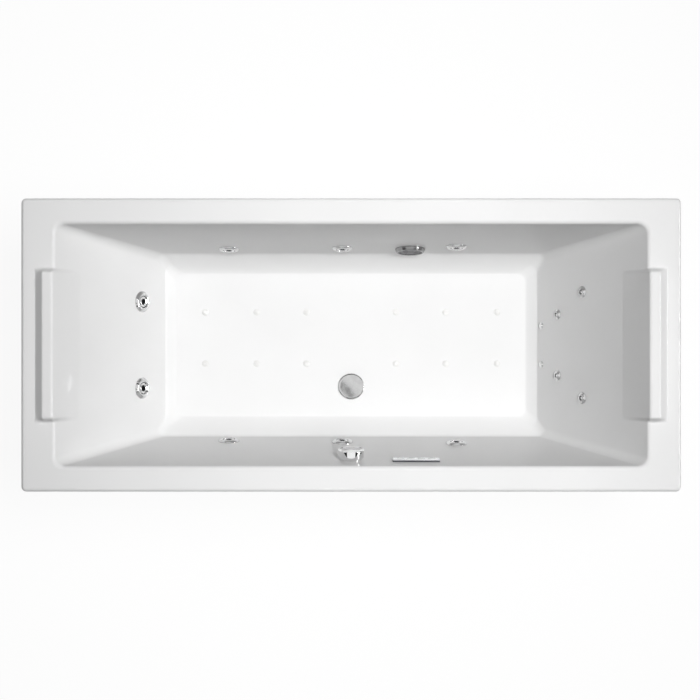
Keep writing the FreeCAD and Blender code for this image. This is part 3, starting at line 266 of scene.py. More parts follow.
def timber():
    """Planed softwood with long grain and a few darker rings."""
    skin = Finish("softwood_planed")
    grain = skin.noise(38.0, 6.0, (0.06, 1, 1), 0.65)
    rings = skin.node("ShaderNodeTexWave", {"wave_type": "BANDS", "bands_direction": "Z"},
                      {"Vector": skin.place(), "Scale": 22.0, "Distortion": 5.0, "Detail": 2.0}, 1)
    tone = skin.mix(grain.span(0.35, 0.65), (0.66, 0.48, 0.28), (0.80, 0.64, 0.43))
    skin.feed(base_color=skin.mix(rings.span(0.6, 1.0, 0.0, 0.5), tone, (0.52, 0.34, 0.18)),
              roughness=grain.span(0.3, 0.7, 0.55, 0.75))
    skin.bump(grain, 0.25, 0.0005)
    return skin.shown()


def chipboard():
    """Pressed wood chips under thin resin."""
    skin = Finish("pressed_chipboard")
    chips = skin.node("ShaderNodeTexVoronoi", {"feature": "F1"},
                      {"Vector": skin.node("ShaderNodeMapping", {}, {"Vector": skin.place(),
                                                                     "Scale": (1, 1.8, 1)}),
                       "Scale": 130.0}, "Color")
    flake = skin.node("ShaderNodeSeparateColor", {}, {"Color": chips}, 0)
    dust = skin.noise(260.0, 4.0)
    tone = skin.mix(flake.span(0.0, 1.0), (0.46, 0.33, 0.19), (0.72, 0.58, 0.38))
    skin.feed(base_color=skin.mix(dust.span(0.45, 0.75), tone, (0.80, 0.68, 0.48)),
              roughness=flake.span(0.0, 1.0, 0.5, 0.8))
    skin.bump(flake + dust, 0.3, 0.0006)
    return skin.shown()


def brushed(name, colour):
    """Thin silver plate with a fine lengthways brush."""
    skin = Finish(name, metallic=0.9)
    lines = skin.noise(600.0, 3.0, (0.02, 1, 1))
    skin.feed(base_color=skin.mix(lines.span(0.3, 0.7), colour, tuple(c * 0.9 for c in colour)),
              roughness=lines.span(0.3, 0.7, 0.22, 0.34))
    skin.bump(lines, 0.05, 0.0002)
    return skin.shown()


ACRYLIC = acrylic()
BACKING = fibreglass()
CHROME = chrome("chrome_polished", 0.05, 0.80)
PEARL = moulded("pearl_white", (0.72, 0.72, 0.71), 0.35)
# A darker copy of the polished chrome for the jets' rings: painted shade that dims them.
CHROME_JETS = chrome("chrome_jets", 0.08, 0.62)
CHROME_SATIN = chrome("chrome_satin", 0.14, 0.58)
# A much darker copy of the chrome for the suction ring: painted shade.
CHROME_PAINTED_SHADE = chrome("chrome_darkened_as_shade", 0.16, 0.26)
DARK = moulded("dark_plastic", (0.012, 0.012, 0.013), 0.5)
GRILLE = moulded("grille_plastic", (0.16, 0.16, 0.165), 0.28)
RUBBER = moulded("black_rubber", (0.03, 0.03, 0.03), 0.7, 250.0, 0.25)
GREY_PVC = moulded("grey_pipe_plastic", (0.33, 0.35, 0.37), 0.32)
WHITE_PVC = moulded("white_pipe_plastic", (0.80, 0.80, 0.78), 0.28)
HOSE = moulded("air_hose_plastic", (0.50, 0.54, 0.57), 0.3, 200.0, 0.1)
PANEL_SILVER = brushed("panel_silver", (0.78, 0.79, 0.80))
BUTTON = moulded("button_grey", (0.70, 0.71, 0.72), 0.25, coat=0.5)
ZINC = galvanised()
TIMBER = timber()
CHIPBOARD = chipboard()
PUMP_PLASTIC = moulded("pump_plastic", (0.045, 0.045, 0.05), 0.38, 300.0, 0.25)
MOTOR_PAINT = moulded("motor_paint", (0.045, 0.10, 0.24), 0.25, 180.0, 0.08, 0.6)
FINISHES = {"acrylic": ACRYLIC, "chrome": CHROME, "dark_plastic": DARK, "rubber": RUBBER,
            "grey_pvc": GREY_PVC, "white_pvc": WHITE_PVC, "hose": HOSE, "panel_silver": PANEL_SILVER,
            "button_grey": BUTTON, "galvanised": ZINC, "timber": TIMBER, "chipboard": CHIPBOARD,
            "pump_plastic": PUMP_PLASTIC, "motor_paint": MOTOR_PAINT}


# ---------------------------------------------------------------- shapes

def finish_mesh(mesh, angle):
    """Smooth shading that keeps edges sharper than the angle."""
    mesh.polygons.foreach_set("use_smooth", [True] * len(mesh.polygons))
    mesh.set_sharp_from_angle(angle=math.radians(angle))


def piece(name, points, faces, materials, seat=None, angle=35, kinds=None):
    """A mesh from points in millimetres, placed by a seat; kinds gives each face's material."""
    mesh = bpy.data.meshes.new(name)
    mesh.from_pydata([tuple(p) for p in points], [], faces)
    for material in materials:
        mesh.materials.append(material)
    if kinds:
        mesh.polygons.foreach_set("material_index", kinds)
    mesh.transform(Matrix.Scale(MM, 4) @ (seat or Matrix.Identity(4)))
    mesh.validate()
    work = bmesh.new()
    work.from_mesh(mesh)
    bmesh.ops.remove_doubles(work, verts=work.verts, dist=1e-6)
    bmesh.ops.recalc_face_normals(work, faces=work.faces)
    work.to_mesh(mesh)
    work.free()
    finish_mesh(mesh, angle)
    return linked(name, mesh)


def linked(name, data):
    """A new object in the scene."""
    thing = bpy.data.objects.new(name, data)
    bpy.context.scene.collection.objects.link(thing)
    return thing


def joined(name, things):
    """Several meshes as one object that keeps their materials."""
    work = bmesh.new()
    materials = []
    for thing in things:
        slots = []
        for material in thing.data.materials:
            if material not in materials:
                materials.append(material)
            slots.append(materials.index(material))
        start = len(work.faces)
        work.from_mesh(thing.data)
        work.faces.ensure_lookup_table()
        for face in work.faces[start:]:
            face.material_index = slots[face.material_index]
        mesh = thing.data
        bpy.data.objects.remove(thing)
        bpy.data.meshes.remove(mesh)
    whole = bpy.data.meshes.new(name)
    work.to_mesh(whole)
    work.free()
    for material in materials:
        whole.materials.append(material)
    return linked(name, whole)


def dress(thing, slot, body, *replaced):
    """Puts a finished piece on its body, in the place of the nodes it stands for."""
    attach(thing, body)
    if replaced:
        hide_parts(*replaced)


def rounded(corners, radii, step=8.0, turn_step=7.0):
    """Points along a run of straight lines whose inner corners are rounded."""
    corners = [Vector(c) for c in corners]
    out = [corners[0]]

    def straight(target):
        gap = (target - out[-1]).length
        for n in range(1, max(1, math.ceil(gap / step))):
            out.append(out[-1] + (target - out[-1]) / (math.ceil(gap / step) - n + 1))
        out.append(target)

    for before, corner, after, radius in zip(corners, corners[1:], corners[2:], radii):
        towards, away = (corner - before).normalized(), (after - corner).normalized()
        turn = towards.angle(away)
        reach = radius * math.tan(turn / 2)
        start = corner - towards * reach
        side = (away - towards * towards.dot(away)).normalized()
        hub = start + side * radius
        straight(start)
        count = max(2, math.ceil(math.degrees(turn) / turn_step))
        for n in range(1, count + 1):
            swing = turn * n / count
            out.append(hub - side * (radius * math.cos(swing)) + towards * (radius * math.sin(swing)))
    straight(corners[-1])
    return out


def lathe(name, profile, material, seat=None, sides=64, kinds=None, materials=None, angle=35,
          flutes=(1, 0, math.inf)):
    """A turned shape from (radius, z) points; kinds gives each band's material, and flutes is a
    count, a depth and the radius outside which the shape is fluted."""
    points, rings, faces, marks = [], [], [], []
    count, depth, outside = flutes
    for radius, z in profile:
        if radius < 1e-6:
            rings.append([len(points)] * sides)
            points.append((0, 0, z))
            continue
        rings.append(list(range(len(points), len(points) + sides)))
        for n in range(sides):
            sunk = depth if radius > outside and n * count * 2 // sides % 2 else 0
            turn = 2 * math.pi * n / sides
            points.append(((radius - sunk) * math.cos(turn), (radius - sunk) * math.sin(turn), z))
    for band, (low, high) in enumerate(zip(rings, rings[1:])):
        for n in range(sides):
            loop = [low[n - 1], low[n], high[n], high[n - 1]]
            loop = list(dict.fromkeys(loop))
            if len(loop) > 2:
                faces.append(loop)
                marks.append(kinds[band] if kinds else 0)
    return piece(name, points, faces, materials or [material], seat, angle, marks)


def soft_profile(corners, radii, step=30.0, turn_step=15.0):
    """A turned profile with rounded corners, from (radius, z) pairs."""
    flat = [(r, z, 0) for r, z in corners]
    if not isinstance(radii, list):
        radii = [radii] * (len(corners) - 2)
    return [(p.x, p.y) for p in rounded(flat, radii, step, turn_step)]


def block(name, low, high, material, seat=None, bevel=1.0, segments=2):
    """A box with rounded edges."""
    work = bmesh.new()
    bmesh.ops.create_cube(work, size=1.0)
    for vert in work.verts:
        vert.co = Vector([(a + b) / 2 + c * (b - a) for a, b, c in zip(low, high, vert.co)])
    if bevel:
        bmesh.ops.bevel(work, geom=list(work.edges), offset=bevel, segments=segments, profile=0.5,
                        affect="EDGES", clamp_overlap=True)
    points = [tuple(v.co) for v in work.verts]
    work.verts.index_update()
    faces = [tuple(v.index for v in face.verts) for face in work.faces]
    work.free()
    return piece(name, points, faces, [material], seat)


def lying(place, towards):
    """A seat whose local Z points along a direction, with local Y upwards."""
    return Matrix.Translation(place) @ Vector(towards).to_track_quat("Z", "Y").to_matrix().to_4x4()


def behind(seat, depth):
    """The point this far behind the wall's face at a fitting."""
    return seat @ Vector((0, 0, -depth))


def lofted(name, rings, materials, seat=None, closed=False, angle=35, kinds=None):
    """A mesh over rows of matching rings of points. Its ends get lids, unless the last ring is
    closed on the first."""
    count = len(rings[0])
    faces = []
    for row in range(len(rings) - (0 if closed else 1)):
        here, there = row * count, (row + 1) % len(rings) * count
        faces += [(here + n, here + (n + 1) % count, there + (n + 1) % count, there + n)
                  for n in range(count)]
    if not closed:
        faces += [tuple(range(count)), tuple(range(len(rings) * count - count, len(rings) * count))]
    return piece(name, [point for ring in rings for point in ring], faces, materials, seat, angle, kinds)


def pipe(points, radius, material, bend=1.0, collar=0.0, ribs=0.0, sides=24):
    """A pipe along straight runs with rounded bends. A collar is the wider glued sleeve at its
    two ends, and ribs make it a corrugated hose."""
    path = rounded(points, [bend] * (len(points) - 2), 1.6 if ribs else 400, 9)
    if collar:
        length = radius * 1.1
        for _ in range(2):
            run = (path[1] - path[0]).normalized()
            path[1:1] = [path[0] + run * length, path[0] + run * (length + 1)]
            path.reverse()
    runs = [(b - a).normalized() for a, b in zip(path, path[1:])]
    ways = runs[:1] + [(a + b).normalized() for a, b in zip(runs, runs[1:])] + runs[-1:]
    across = runs[0].orthogonal()
    rings = []
    for n, (spot, way) in enumerate(zip(path, ways)):
        across = (across - way * across.dot(way)).normalized()
        over = way.cross(across)
        size = radius + (collar if min(n, len(path) - 1 - n) < 2 else 0) - (ribs if n % 2 else 0)
        rings.append([spot + (across * math.cos(turn) + over * math.sin(turn)) * size
                      for turn in (2 * math.pi * k / sides for k in range(sides))])
    return lofted("run", rings, [material])


def square_tube(start, stop, size, material):
    """A square tube with rounded edges and 2 mm walls, open at both ends."""
    length = (Vector(stop) - Vector(start)).length
    rings = []
    for z, half, corner in ((0, size / 2, 4), (length, size / 2, 4),
                            (length, size / 2 - 2, 2), (0, size / 2 - 2, 2)):
        ring = []
        for n in range(16):
            turn = math.radians(n // 4 * 90 + n % 4 * 30)
            side_x = 1 if n // 4 in (0, 3) else -1
            side_y = 1 if n // 4 in (0, 1) else -1
            ring.append((side_x * (half - corner) + corner * math.cos(turn),
                         side_y * (half - corner) + corner * math.sin(turn), z))
        rings.append(ring)
    return lofted("tube", rings, [material], lying(start, Vector(stop) - Vector(start)), True)


def screws(places, towards, radius, height, material):
    """Screw heads with a rounded edge and a round socket, at each place."""
    head = [(0, height * 0.4), (radius * 0.5, height * 0.4), (radius * 0.5, height), (radius * 0.8, height),
            (radius, height * 0.6), (radius, 0), (0, 0)]
    return [lathe("screw", head, material, lying(place, towards), 24) for place in places]


def nut(place, towards, radius, length, material, grips=12):
    """A union nut with moulded grips."""
    form = [(0, 0), (radius - 1, 0), (radius, 1), (radius, length - 2), (radius - 3, length), (0, length)]
    return lathe("nut", form, material, lying(place, towards), 96, flutes=(grips, 1.8, radius - 2))


def seat_at(side, along, z):
    """A seat on a wall: local Z points into the basin, local Y up the wall."""
    outward = Vector({"back": (0, 1, 0), "front": (0, -1, 0), "left": (-1, 0, 0), "right": (1, 0, 0)}[side])
    level = Vector((0, 0, 1))
    if side in ("back", "front"):
        tilt, spot = math.radians(SIDE_LEAN), Vector((along, 0, z)) + outward * wall_width(z)
    else:
        tilt, spot = math.radians(END_LEAN), Vector((0, along, z)) + outward * wall_length(z)
    inward = level * math.sin(tilt) - outward * math.cos(tilt)
    upward = level * math.cos(tilt) + outward * math.sin(tilt)
    return Matrix([[*row, place] for row, place in zip(zip(upward.cross(inward), upward, inward), spot)]
                  + [[0, 0, 0, 1]])


def floor_seat(x, y, z=FLOOR):
    return Matrix.Translation((x, y, z))


def wall_length(z, offset=0.0):
    lean = math.radians(END_LEAN)
    return BASIN_HALF_LENGTH - (RIM - z) * math.tan(lean) + offset / math.cos(lean)


def wall_width(z, offset=0.0):
    lean = math.radians(SIDE_LEAN)
    return BASIN_HALF_WIDTH - (RIM - z) * math.tan(lean) + offset / math.cos(lean)


# ---------------------------------------------------------------- the moulded tub

def foot_reach(z, wall, lean, radius, floor, offset=0.0, flat=0.0):
    """Half size of the basin at height z, with the rounding at the foot of its wall, partly flattened
    to a slant."""
    turn = math.radians(90 - lean)
    start = wall(floor, offset) - radius * math.tan(turn / 2)
    rise = radius * (1 - math.cos(turn))
    if z >= floor + rise:
        return wall(z, offset)
    swing = math.acos(1 - (z - floor) / radius)
    slant = (wall(floor + rise, offset) - start) * (z - floor) / rise
    return start + radius * math.sin(swing) + flat * (slant - radius * math.sin(swing))


def along_run(points):
    """Shares of the length of a run at which its points lie."""
    lengths = [0.0]
    for a, b in zip(points, points[1:]):
        lengths.append(lengths[-1] + (b - a).length)
    return [v / lengths[-1] for v in lengths]


def at_share(points, shares, share):
    for n in range(1, len(points)):
        if share <= shares[n] or n == len(points) - 1:
            span = shares[n] - shares[n - 1]
            part = (share - shares[n - 1]) / span if span else 0
            return points[n - 1].lerp(points[n], min(1, max(0, part)))


def pad_stations():
    """Upper wall, rim edge and rim: the end with no headrest, with headrest, and the long side."""
    edge_x = PAD_FLAT_X
    side_edge = WIDTH / 2 - (LENGTH / 2 - edge_x)
    plain = rounded([(wall_length(PAD_LOW), PAD_LOW, 0), (BASIN_HALF_LENGTH, RIM, 0), (edge_x, RIM, 0)],
                    [RIM_ROUND], 14, 6)
    side = rounded([(wall_width(PAD_LOW), PAD_LOW, 0), (BASIN_HALF_WIDTH, RIM, 0), (side_edge, RIM, 0)],
                   [RIM_ROUND], 14, 6)
    raised = rounded([(x, z, 0) for x, z in reversed(PAD_PROFILE)], list(reversed(PAD_ROUNDS)), 7, 12)
    plain_at, side_at, raised_at = along_run(plain), along_run(side), along_run(raised)

    def knots(points, shares):
        """Shares where the wall ends and where the rim begins."""
        flat = [s for p, s in zip(points, shares) if p.y > RIM - 1e-4]
        slope = [s for p, s in zip(points, shares) if p.y < RIM - 0.001 - RIM_ROUND * 0.45]
        return [0.0, slope[-1], flat[0], 1.0]

    plain_knots, side_knots = knots(plain, plain_at), knots(side, side_at)
    shares = sorted(set(round(s, 5) for s in plain_at + raised_at))
    stations = []
    for share in shares:
        zone = max(n for n in range(3) if share >= plain_knots[n] - 1e-9)
        part = (share - plain_knots[zone]) / (plain_knots[zone + 1] - plain_knots[zone])
        side_share = side_knots[zone] + part * (side_knots[zone + 1] - side_knots[zone])
        stations.append((at_share(plain, plain_at, share), at_share(side, side_at, side_share),
                         at_share(raised, raised_at, share)))
    return stations


def tub_stations():
    """Each ring of the tub from the floor inside, over the rim and lip, to the floor outside."""
    rings = []

    def ring(end_x, end_z, side_y, side_z, corner, pad=None):
        rings.append((end_x, end_z, side_y, side_z, corner, pad))

    turns = [(END_FOOT, 90 - END_LEAN), (SIDE_FOOT, 90 - SIDE_LEAN)]
    levels = sorted(set(round(FLOOR + radius * (1 - math.cos(math.radians(turn * n / 11))), 3)
                        for radius, turn in turns for n in range(12)))
    slope = [levels[-1] + 4] + [levels[-1] + (PAD_LOW - levels[-1]) * n / 9 for n in range(1, 9)]
    for z in levels + slope:
        ring(foot_reach(z, wall_length, END_LEAN, END_FOOT, FLOOR, 0.0, FOOT_SLANT), z,
             foot_reach(z, wall_width, SIDE_LEAN, SIDE_FOOT, FLOOR, 0.0, FOOT_SLANT), z, BASIN_CORNER)
    upper = pad_stations()
    for n, (plain, side, raised) in enumerate(upper):
        outward = max(0.0, plain.x - BASIN_HALF_LENGTH + RIM_ROUND)
        share = min(1.0, outward / (PAD_FLAT_X - BASIN_HALF_LENGTH + RIM_ROUND))
        ring(plain.x, plain.y, side.x, side.y, BASIN_CORNER + 6 * min(1, outward / RIM_ROUND) - 14 * share,
             raised)
    edge = rounded([(PAD_FLAT_X + 2, RIM, 0), (LENGTH / 2, RIM, 0), (LENGTH / 2, RIM - LIP_DEPTH, 0),
                    (LENGTH / 2 - SHELL, RIM - LIP_DEPTH, 0), (LENGTH / 2 - SHELL, RIM - SHELL, 0),
                    (BASIN_HALF_LENGTH + 8, RIM - SHELL, 0)], [LIP_ROUND, 2, 2, 4], 12, 11)
    for p in edge:
        inset = LENGTH / 2 - p.x
        ring(p.x, p.y, WIDTH / 2 - inset + max(0, inset - 12) * 0.3, p.y,
             max(4.0, LIP_CORNER - inset) + max(0, inset - 10) * 0.4)
    outer_floor = FLOOR - SHELL
    hull = [RIM - SHELL - 6 - (RIM - SHELL - 6 - outer_floor - 60) * n / 10 for n in range(11)]
    foot = [outer_floor + 52 * (1 - math.sin(math.radians(90 * n / 10))) for n in range(11)]
    for z in hull + foot:
        ring(foot_reach(z, wall_length, END_LEAN, END_FOOT + SHELL, outer_floor, SHELL), z,
             foot_reach(z, wall_width, SIDE_LEAN, SIDE_FOOT + SHELL, outer_floor, SHELL), z,
             BASIN_CORNER + SHELL)
    return rings


def straight_places():
    """Places along the end walls, closest together at the headrest's sides."""
    half = ([0, 30, 60, 90, 120, 145, 165, 176] + [180 + 2.2 * n for n in range(18)]
            + [226, 236, 250, 268, 286])
    half = [h / 302 for h in half]
    return [-h for h in reversed(half[1:])] + half


def pad_share(y):
    """How much of the headrest's form there is at this distance from the middle."""
    t = (abs(y) - PAD_SIDE[0]) / (PAD_SIDE[1] - PAD_SIDE[0])
    t = min(1.0, max(0.0, t))
    return 1 - t * t * t * (t * (6 * t - 15) + 10)


CORNER_STEPS = 10
LONG_STEPS = 24
SHELL_SMOOTH = 50           # degrees


def tub_ring(station, places):
    """A ring of points: end wall, corner, long wall and corner, then the same on the other side."""
    end_x, end_z, side_y, side_z, corner, pad = station
    reach_x, reach_y = end_x - corner, side_y - corner
    bend = []
    for n in range(CORNER_STEPS + 1):
        share = n / CORNER_STEPS
        swing = share * math.pi / 2
        bend.append((reach_x + corner * math.cos(swing), reach_y + corner * math.sin(swing),
                     end_z + (side_z - end_z) * (3 - 2 * share) * share * share))
    ring = []
    for side in (1, -1):
        for place in places[::side]:
            y = place * reach_y
            x, z = end_x, end_z
            if pad is not None:
                lift = pad_share(y)
                x, z = x + (pad.x - x) * lift, z + (pad.y - z) * lift
            ring.append((side * x, y, z))
        ring += [(side * x, side * y, z) for x, y, z in bend]
        ring += [(side * reach_x * (1 - 2 * n / LONG_STEPS), side * side_y, side_z)
                 for n in range(1, LONG_STEPS)]
        ring += [(-side * x, side * y, z) for x, y, z in reversed(bend)]
    return ring


def make_tub():
    """The whole moulding: white inside and over the rim, glass fibre behind."""
    stations = tub_stations()
    places = straight_places()
    rings = [tub_ring(station, places) for station in stations]
    count = len(rings[0])
    lip = next(n for n, s in enumerate(stations) if s[1] < RIM - LIP_DEPTH + 0.5 and s[0] > LENGTH / 2 - 4)
    kinds = [0 if row < lip + 4 else 1 for row in range(len(rings) - 1) for _ in range(count)] + [0, 1]
    return lofted("tub_shell", rings, [ACRYLIC, BACKING], angle=SHELL_SMOOTH, kinds=kinds)


def bore_through(target, holes):
    """Cuts the fittings' holes, given as seats and radii."""
    tools = [lathe("bore_tool", [(0, -40), (radius, -40), (radius, 40), (0, 40)], DARK, seat, 48)
             for seat, radius in holes]
    tool = joined("bore_tools", tools)
    change = target.modifiers.new("bores", "BOOLEAN")
    change.operation = "DIFFERENCE"
    change.solver = "EXACT"
    change.object = tool
    bpy.context.view_layer.update()
    cut = bpy.data.meshes.new_from_object(target.evaluated_get(bpy.context.evaluated_depsgraph_get()))
    target.modifiers.clear()
    target.data = cut
    bpy.data.objects.remove(tool)
    finish_mesh(cut, SHELL_SMOOTH)


def jet_seats():
    seats = {}
    for side in ("back", "front"):
        for number, (x, z) in enumerate(JETS.items(), 1):
            seats["%s_%d" % (side, number)] = seat_at(side, x, z)
    y, z = BACK_JET
    return seats | {"end_1": seat_at("left", y, z), "end_2": seat_at("left", -y, z)}


def mini_seats():
    return [(seat_at("right", sign * y, z), radius) for y, z, radius in MINI_JETS for sign in (1, -1)]


def injector_seats():
    floor = [floor_seat(sign * x, y) for y in INJECTOR_Y for x in INJECTOR_X for sign in (-1, 1)]
    y, z = END_INJECTOR
    return floor + [seat_at("right", y, z), seat_at("right", -y, z)]


tub = make_tub()
bore_through(tub, [(seat, JET_BORE) for seat in jet_seats().values()]
             + [(seat, radius - MINI_JET_EDGE) for seat, radius in mini_seats()]
             + [(seat_at("back", *SUCTION[:2]), SUCTION_BORE), (floor_seat(0, WASTE_Y), WASTE_BORE)])
dress(tub, "acrylic", "bath", "bath_shell")


# ---------------------------------------------------------------- jets

NOZZLE_BALL = 17.38         # radius
NOZZLE_MOUTH = 7.0
NOZZLE_BACK, NOZZLE_FACE = -10.0, 6.0
# Inside this radius the nozzle's mouth and bore are painted dark: painted shade in the hole.
SHADE_PAINTED_INSIDE = 9.3           # the nozzle is dark inside this radius


def make_jets():
    """Each jet's ring on the wall, and the ball with its mouth that tilts in it."""
    ring = soft_profile([(22.5, -24), (22.5, 0), (31, 0), (31, 1.8), (26, 7.2), (20.5, 8), (17.52, 6.4),
                         (17.52, -24)], [0.3, 0.3, 0.8, 5, 4, 1.2], 8, 12)
    ball = [(NOZZLE_BALL * math.cos(math.radians(a)), -2 + NOZZLE_BALL * math.sin(math.radians(a)))
            for a in range(-27, 28, 6)]
    face = soft_profile([ball[-1], (14.6, NOZZLE_FACE - 0.1), (13.2, NOZZLE_FACE - 0.6), (11.8, 4.2),
                         (9.9, 4.4), (9.2, NOZZLE_FACE), (NOZZLE_MOUTH, NOZZLE_FACE - 0.4),
                         (NOZZLE_MOUTH, NOZZLE_BACK)],
                        [0.4, 0.6, 0.8, 0.5, 0.5, 0.3], 4, 20)
    nozzle = [(NOZZLE_MOUTH, NOZZLE_BACK)] + ball[:-1] + face
    # The bands inside that radius take the dark plastic, as painted shade in the mouth.
    bands = [1 if max(a[0], b[0]) < SHADE_PAINTED_INSIDE else 0 for a, b in zip(nozzle, nozzle[1:])]
    rings = []
    for name, seat in jet_seats().items():
        rings.append(lathe("ring", ring + ring[:1], CHROME_JETS, seat, 72))
        dress(lathe("jet_nozzle_ball_" + name, nozzle, None, seat, 64, bands, [CHROME, DARK]), "chrome",
              "nozzle_" + name, "jet_nozzle_" + name)
    dress(joined("jet_rings", rings), "chrome", "bath", "jet_bezels")


def make_mini_jets():
    """The small jets: a ring whose bore is painted dark as shade, a fixed ball, and a dark disc on the ball
    painted as the shade of a mouth that looks aside.
    """
    rings = []
    for seat, radius in mini_seats():
        bore = radius - 10.5
        profile = soft_profile([(radius - 5.5, -12), (radius - 5.5, 0), (radius, 0), (radius, 1.4),
                                (radius - 4.2, 2.6), (radius - 5.6, 5.0), (bore + 1.2, 6), (bore, 4.6),
                                (bore, -12)], [0.2, 0.2, 0.5, 1.0, 2.0, 1.2, 0.4], 6, 15)
        # The bore's wall takes the dark plastic: painted shade in the gap round the ball.
        bands = [1 if max(a[0], b[0]) < bore + 0.05 else 0 for a, b in zip(profile, profile[1:])] + [1]
        rings.append(lathe("ring", profile + profile[:1], None, seat, 48, bands, [CHROME_JETS, DARK]))
        ball = [(0, 4.2), (2.5, 4.0), (4.6, 3.1), (bore + 0.4, 1.0), (bore + 0.4, -6), (0, -6)]
        rings.append(lathe("ball", ball, CHROME, seat, 40))
        # A thin dark disc on the ball stands for the mouth: painted shade where the opening would be.
        mouth = seat @ Matrix.Translation((0, 4.2, 1.2)) @ Matrix.Rotation(math.radians(-38), 4, "X")
        rings.append(lathe("mouth", [(0, 2.2), (2.4, 2.2), (2.6, 1.6), (0, 1.6)], DARK, mouth, 24))
    dress(joined("mini_jet_rings", rings), "chrome", "bath", "mini_jet_bezels")


def make_injectors():
    """Pearl white caps in the floor and chrome ones at the end."""
    cap = soft_profile([(5, -6), (5, 0), (9.8, 0), (9.8, 1.3), (7.4, 2.6), (6.6, 2.2), (5.6, 3.9), (0, 4)],
                       [0.2, 0.2, 0.5, 0.5, 0.3, 0.8], 4, 18)
    seats = injector_seats()
    caps = [lathe("cap", cap, PEARL if n < len(seats) - 2 else CHROME, seat, 40)
            for n, seat in enumerate(seats)]
    dress(joined("air_injector_domes", caps), "chrome", "bath", "air_injector_caps")


make_jets()
make_mini_jets()
make_injectors()


# ---------------------------------------------------------------- suction, waste and overflow

BAR_PITCH = 7.4


def make_suction():
    """The suction cover: a chrome ring darkened with painted shade round a grille of bars, with a dark disc
    behind them painted as shade.
    """
    seat = seat_at("back", *SUCTION[:2])
    rim = SUCTION[2]
    profile = soft_profile([(rim, 0), (rim, 3), (rim - 4, 11.4), (rim - 9.9, 11.4), (rim - 9.9, 0)],
                           [1.2, 2.2, 1.2], 8, 12)
    dress(lathe("suction_cover_ring", profile + profile[:1], CHROME_PAINTED_SHADE, seat, 96), "chrome", "bath",
          "suction_ring")
    inner = rim - 10.1
    bars = []
    for row in range(-4, 5):
        y = row * BAR_PITCH
        half = math.sqrt(max(0, (inner - 2.5) ** 2 - y * y))
        if half > 4:
            bars.append(bar_piece(seat, half, y, 2.1, 3.4, 9.8))
    dish = soft_profile([(inner, 3), (inner, 8.6), (inner - 2.4, 9.6), (inner - 4.6, 8.4), (inner - 4.6, 3)],
                        [0.8, 0.8, 0.8], 4, 15)
    bars.append(lathe("grille_rim", dish + dish[:1], GRILLE, seat, 80))
    # A dark disc closes the grille behind its bars: painted shade where the opening behind them would be.
    back = [(0, 3.2), (inner - 1, 3.2), (inner - 1, 3.6), (0, 3.6)]
    bars.append(lathe("grille_back", back, DARK, seat, 48))
    sleeve = [(28.0, -16), (31.0, -16), (31.0, 3.0), (28.0, 3.0), (28.0, -16)]
    bars.append(lathe("grille_sleeve", sleeve, DARK, seat, 48))
    dress(joined("suction_cover_grille", bars), "chrome", "bath", "suction_grille")


def bar_piece(seat, half, y, thick, low, high):
    """One rounded bar of the suction cover, lying along local X."""
    section = [(y - thick, low), (y - thick, high - 1), (y - thick + 0.8, high), (y + thick - 0.8, high),
               (y + thick, high - 1), (y + thick, low)]
    return lofted("bar", [[(x, a, b) for a, b in section] for x in (-half, half)], [GRILLE], seat)


def make_waste():
    """The cap that rises on its stem, and the floor ring with a three-spoked guide."""
    seat = floor_seat(0, WASTE_Y, 0)
    low = FLOOR + 2.3
    dome = [(r, low + 6.9 - r * r / 662) for r in range(32, 0, -4)]
    cap = soft_profile([(4, 142), (4, low), (36, low), (39, low + 0.6), (39, low + 3.4), (35.5, low + 5.0)],
                       [0.5, 1, 0.5, 1.6], 6, 10) + dome + [(0, low + 6.9)]
    dress(lathe("waste_cap", [(0, 142)] + cap, CHROME_SATIN, seat, 96), "chrome", "plug", "waste_plug")
    ring = soft_profile([(25, 146), (25, FLOOR), (36, FLOOR), (36, FLOOR + 0.8), (30, FLOOR + 1.9),
                         (21, FLOOR + 1.2), (21, 146)], [0.2, 0.1, 0.4, 0.8, 0.6], 8, 15)
    hub = [(4.1, 148), (9, 148), (9, 154), (4.1, 154), (4.1, 148)]
    spokes = [block("spoke", (8.5, -1.5, 148), (21.5, 1.5, 154), CHROME_SATIN,
                    seat @ Matrix.Rotation(n * 2 * math.pi / 3, 4, "Z"), 0.5) for n in range(3)]
    dress(joined("waste_ring", [lathe("ring", ring + ring[:1], CHROME, seat, 80),
                                lathe("hub", hub, CHROME_SATIN, seat, 32)] + spokes), "chrome", "bath",
          "waste_flange")


def make_overflow():
    """The knob that turns, and its neck on the wall."""
    seat = seat_at("front", 0, KNOB[0])
    rim = KNOB[1]
    base = soft_profile([(6.1, -10), (23, -10), (23, 0), (30, 0), (30, 4.2), (29, 5), (6.1, 5), (6.1, -10)],
                        [0.2, 0.2, 0.2, 0.4, 0.4, 0.2], 8, 20)
    dress(lathe("overflow_neck", base, CHROME, seat, 64), "chrome", "bath", "overflow_base")
    knob = soft_profile([(6, -9), (6, 5.3), (35.2, 5.3), (rim, 6.4), (rim, 27), (34.2, 29), (30.5, 28.4),
                         (0, 27.6)], [0.3, 0.4, 0.4, 0.8, 1.0, 0.8], 6, 14)
    dress(lathe("overflow_turn_knob", [(0, -9)] + knob, CHROME, seat, 128), "chrome", "knob", "overflow_knob")


KEY_PITCH = 29.0


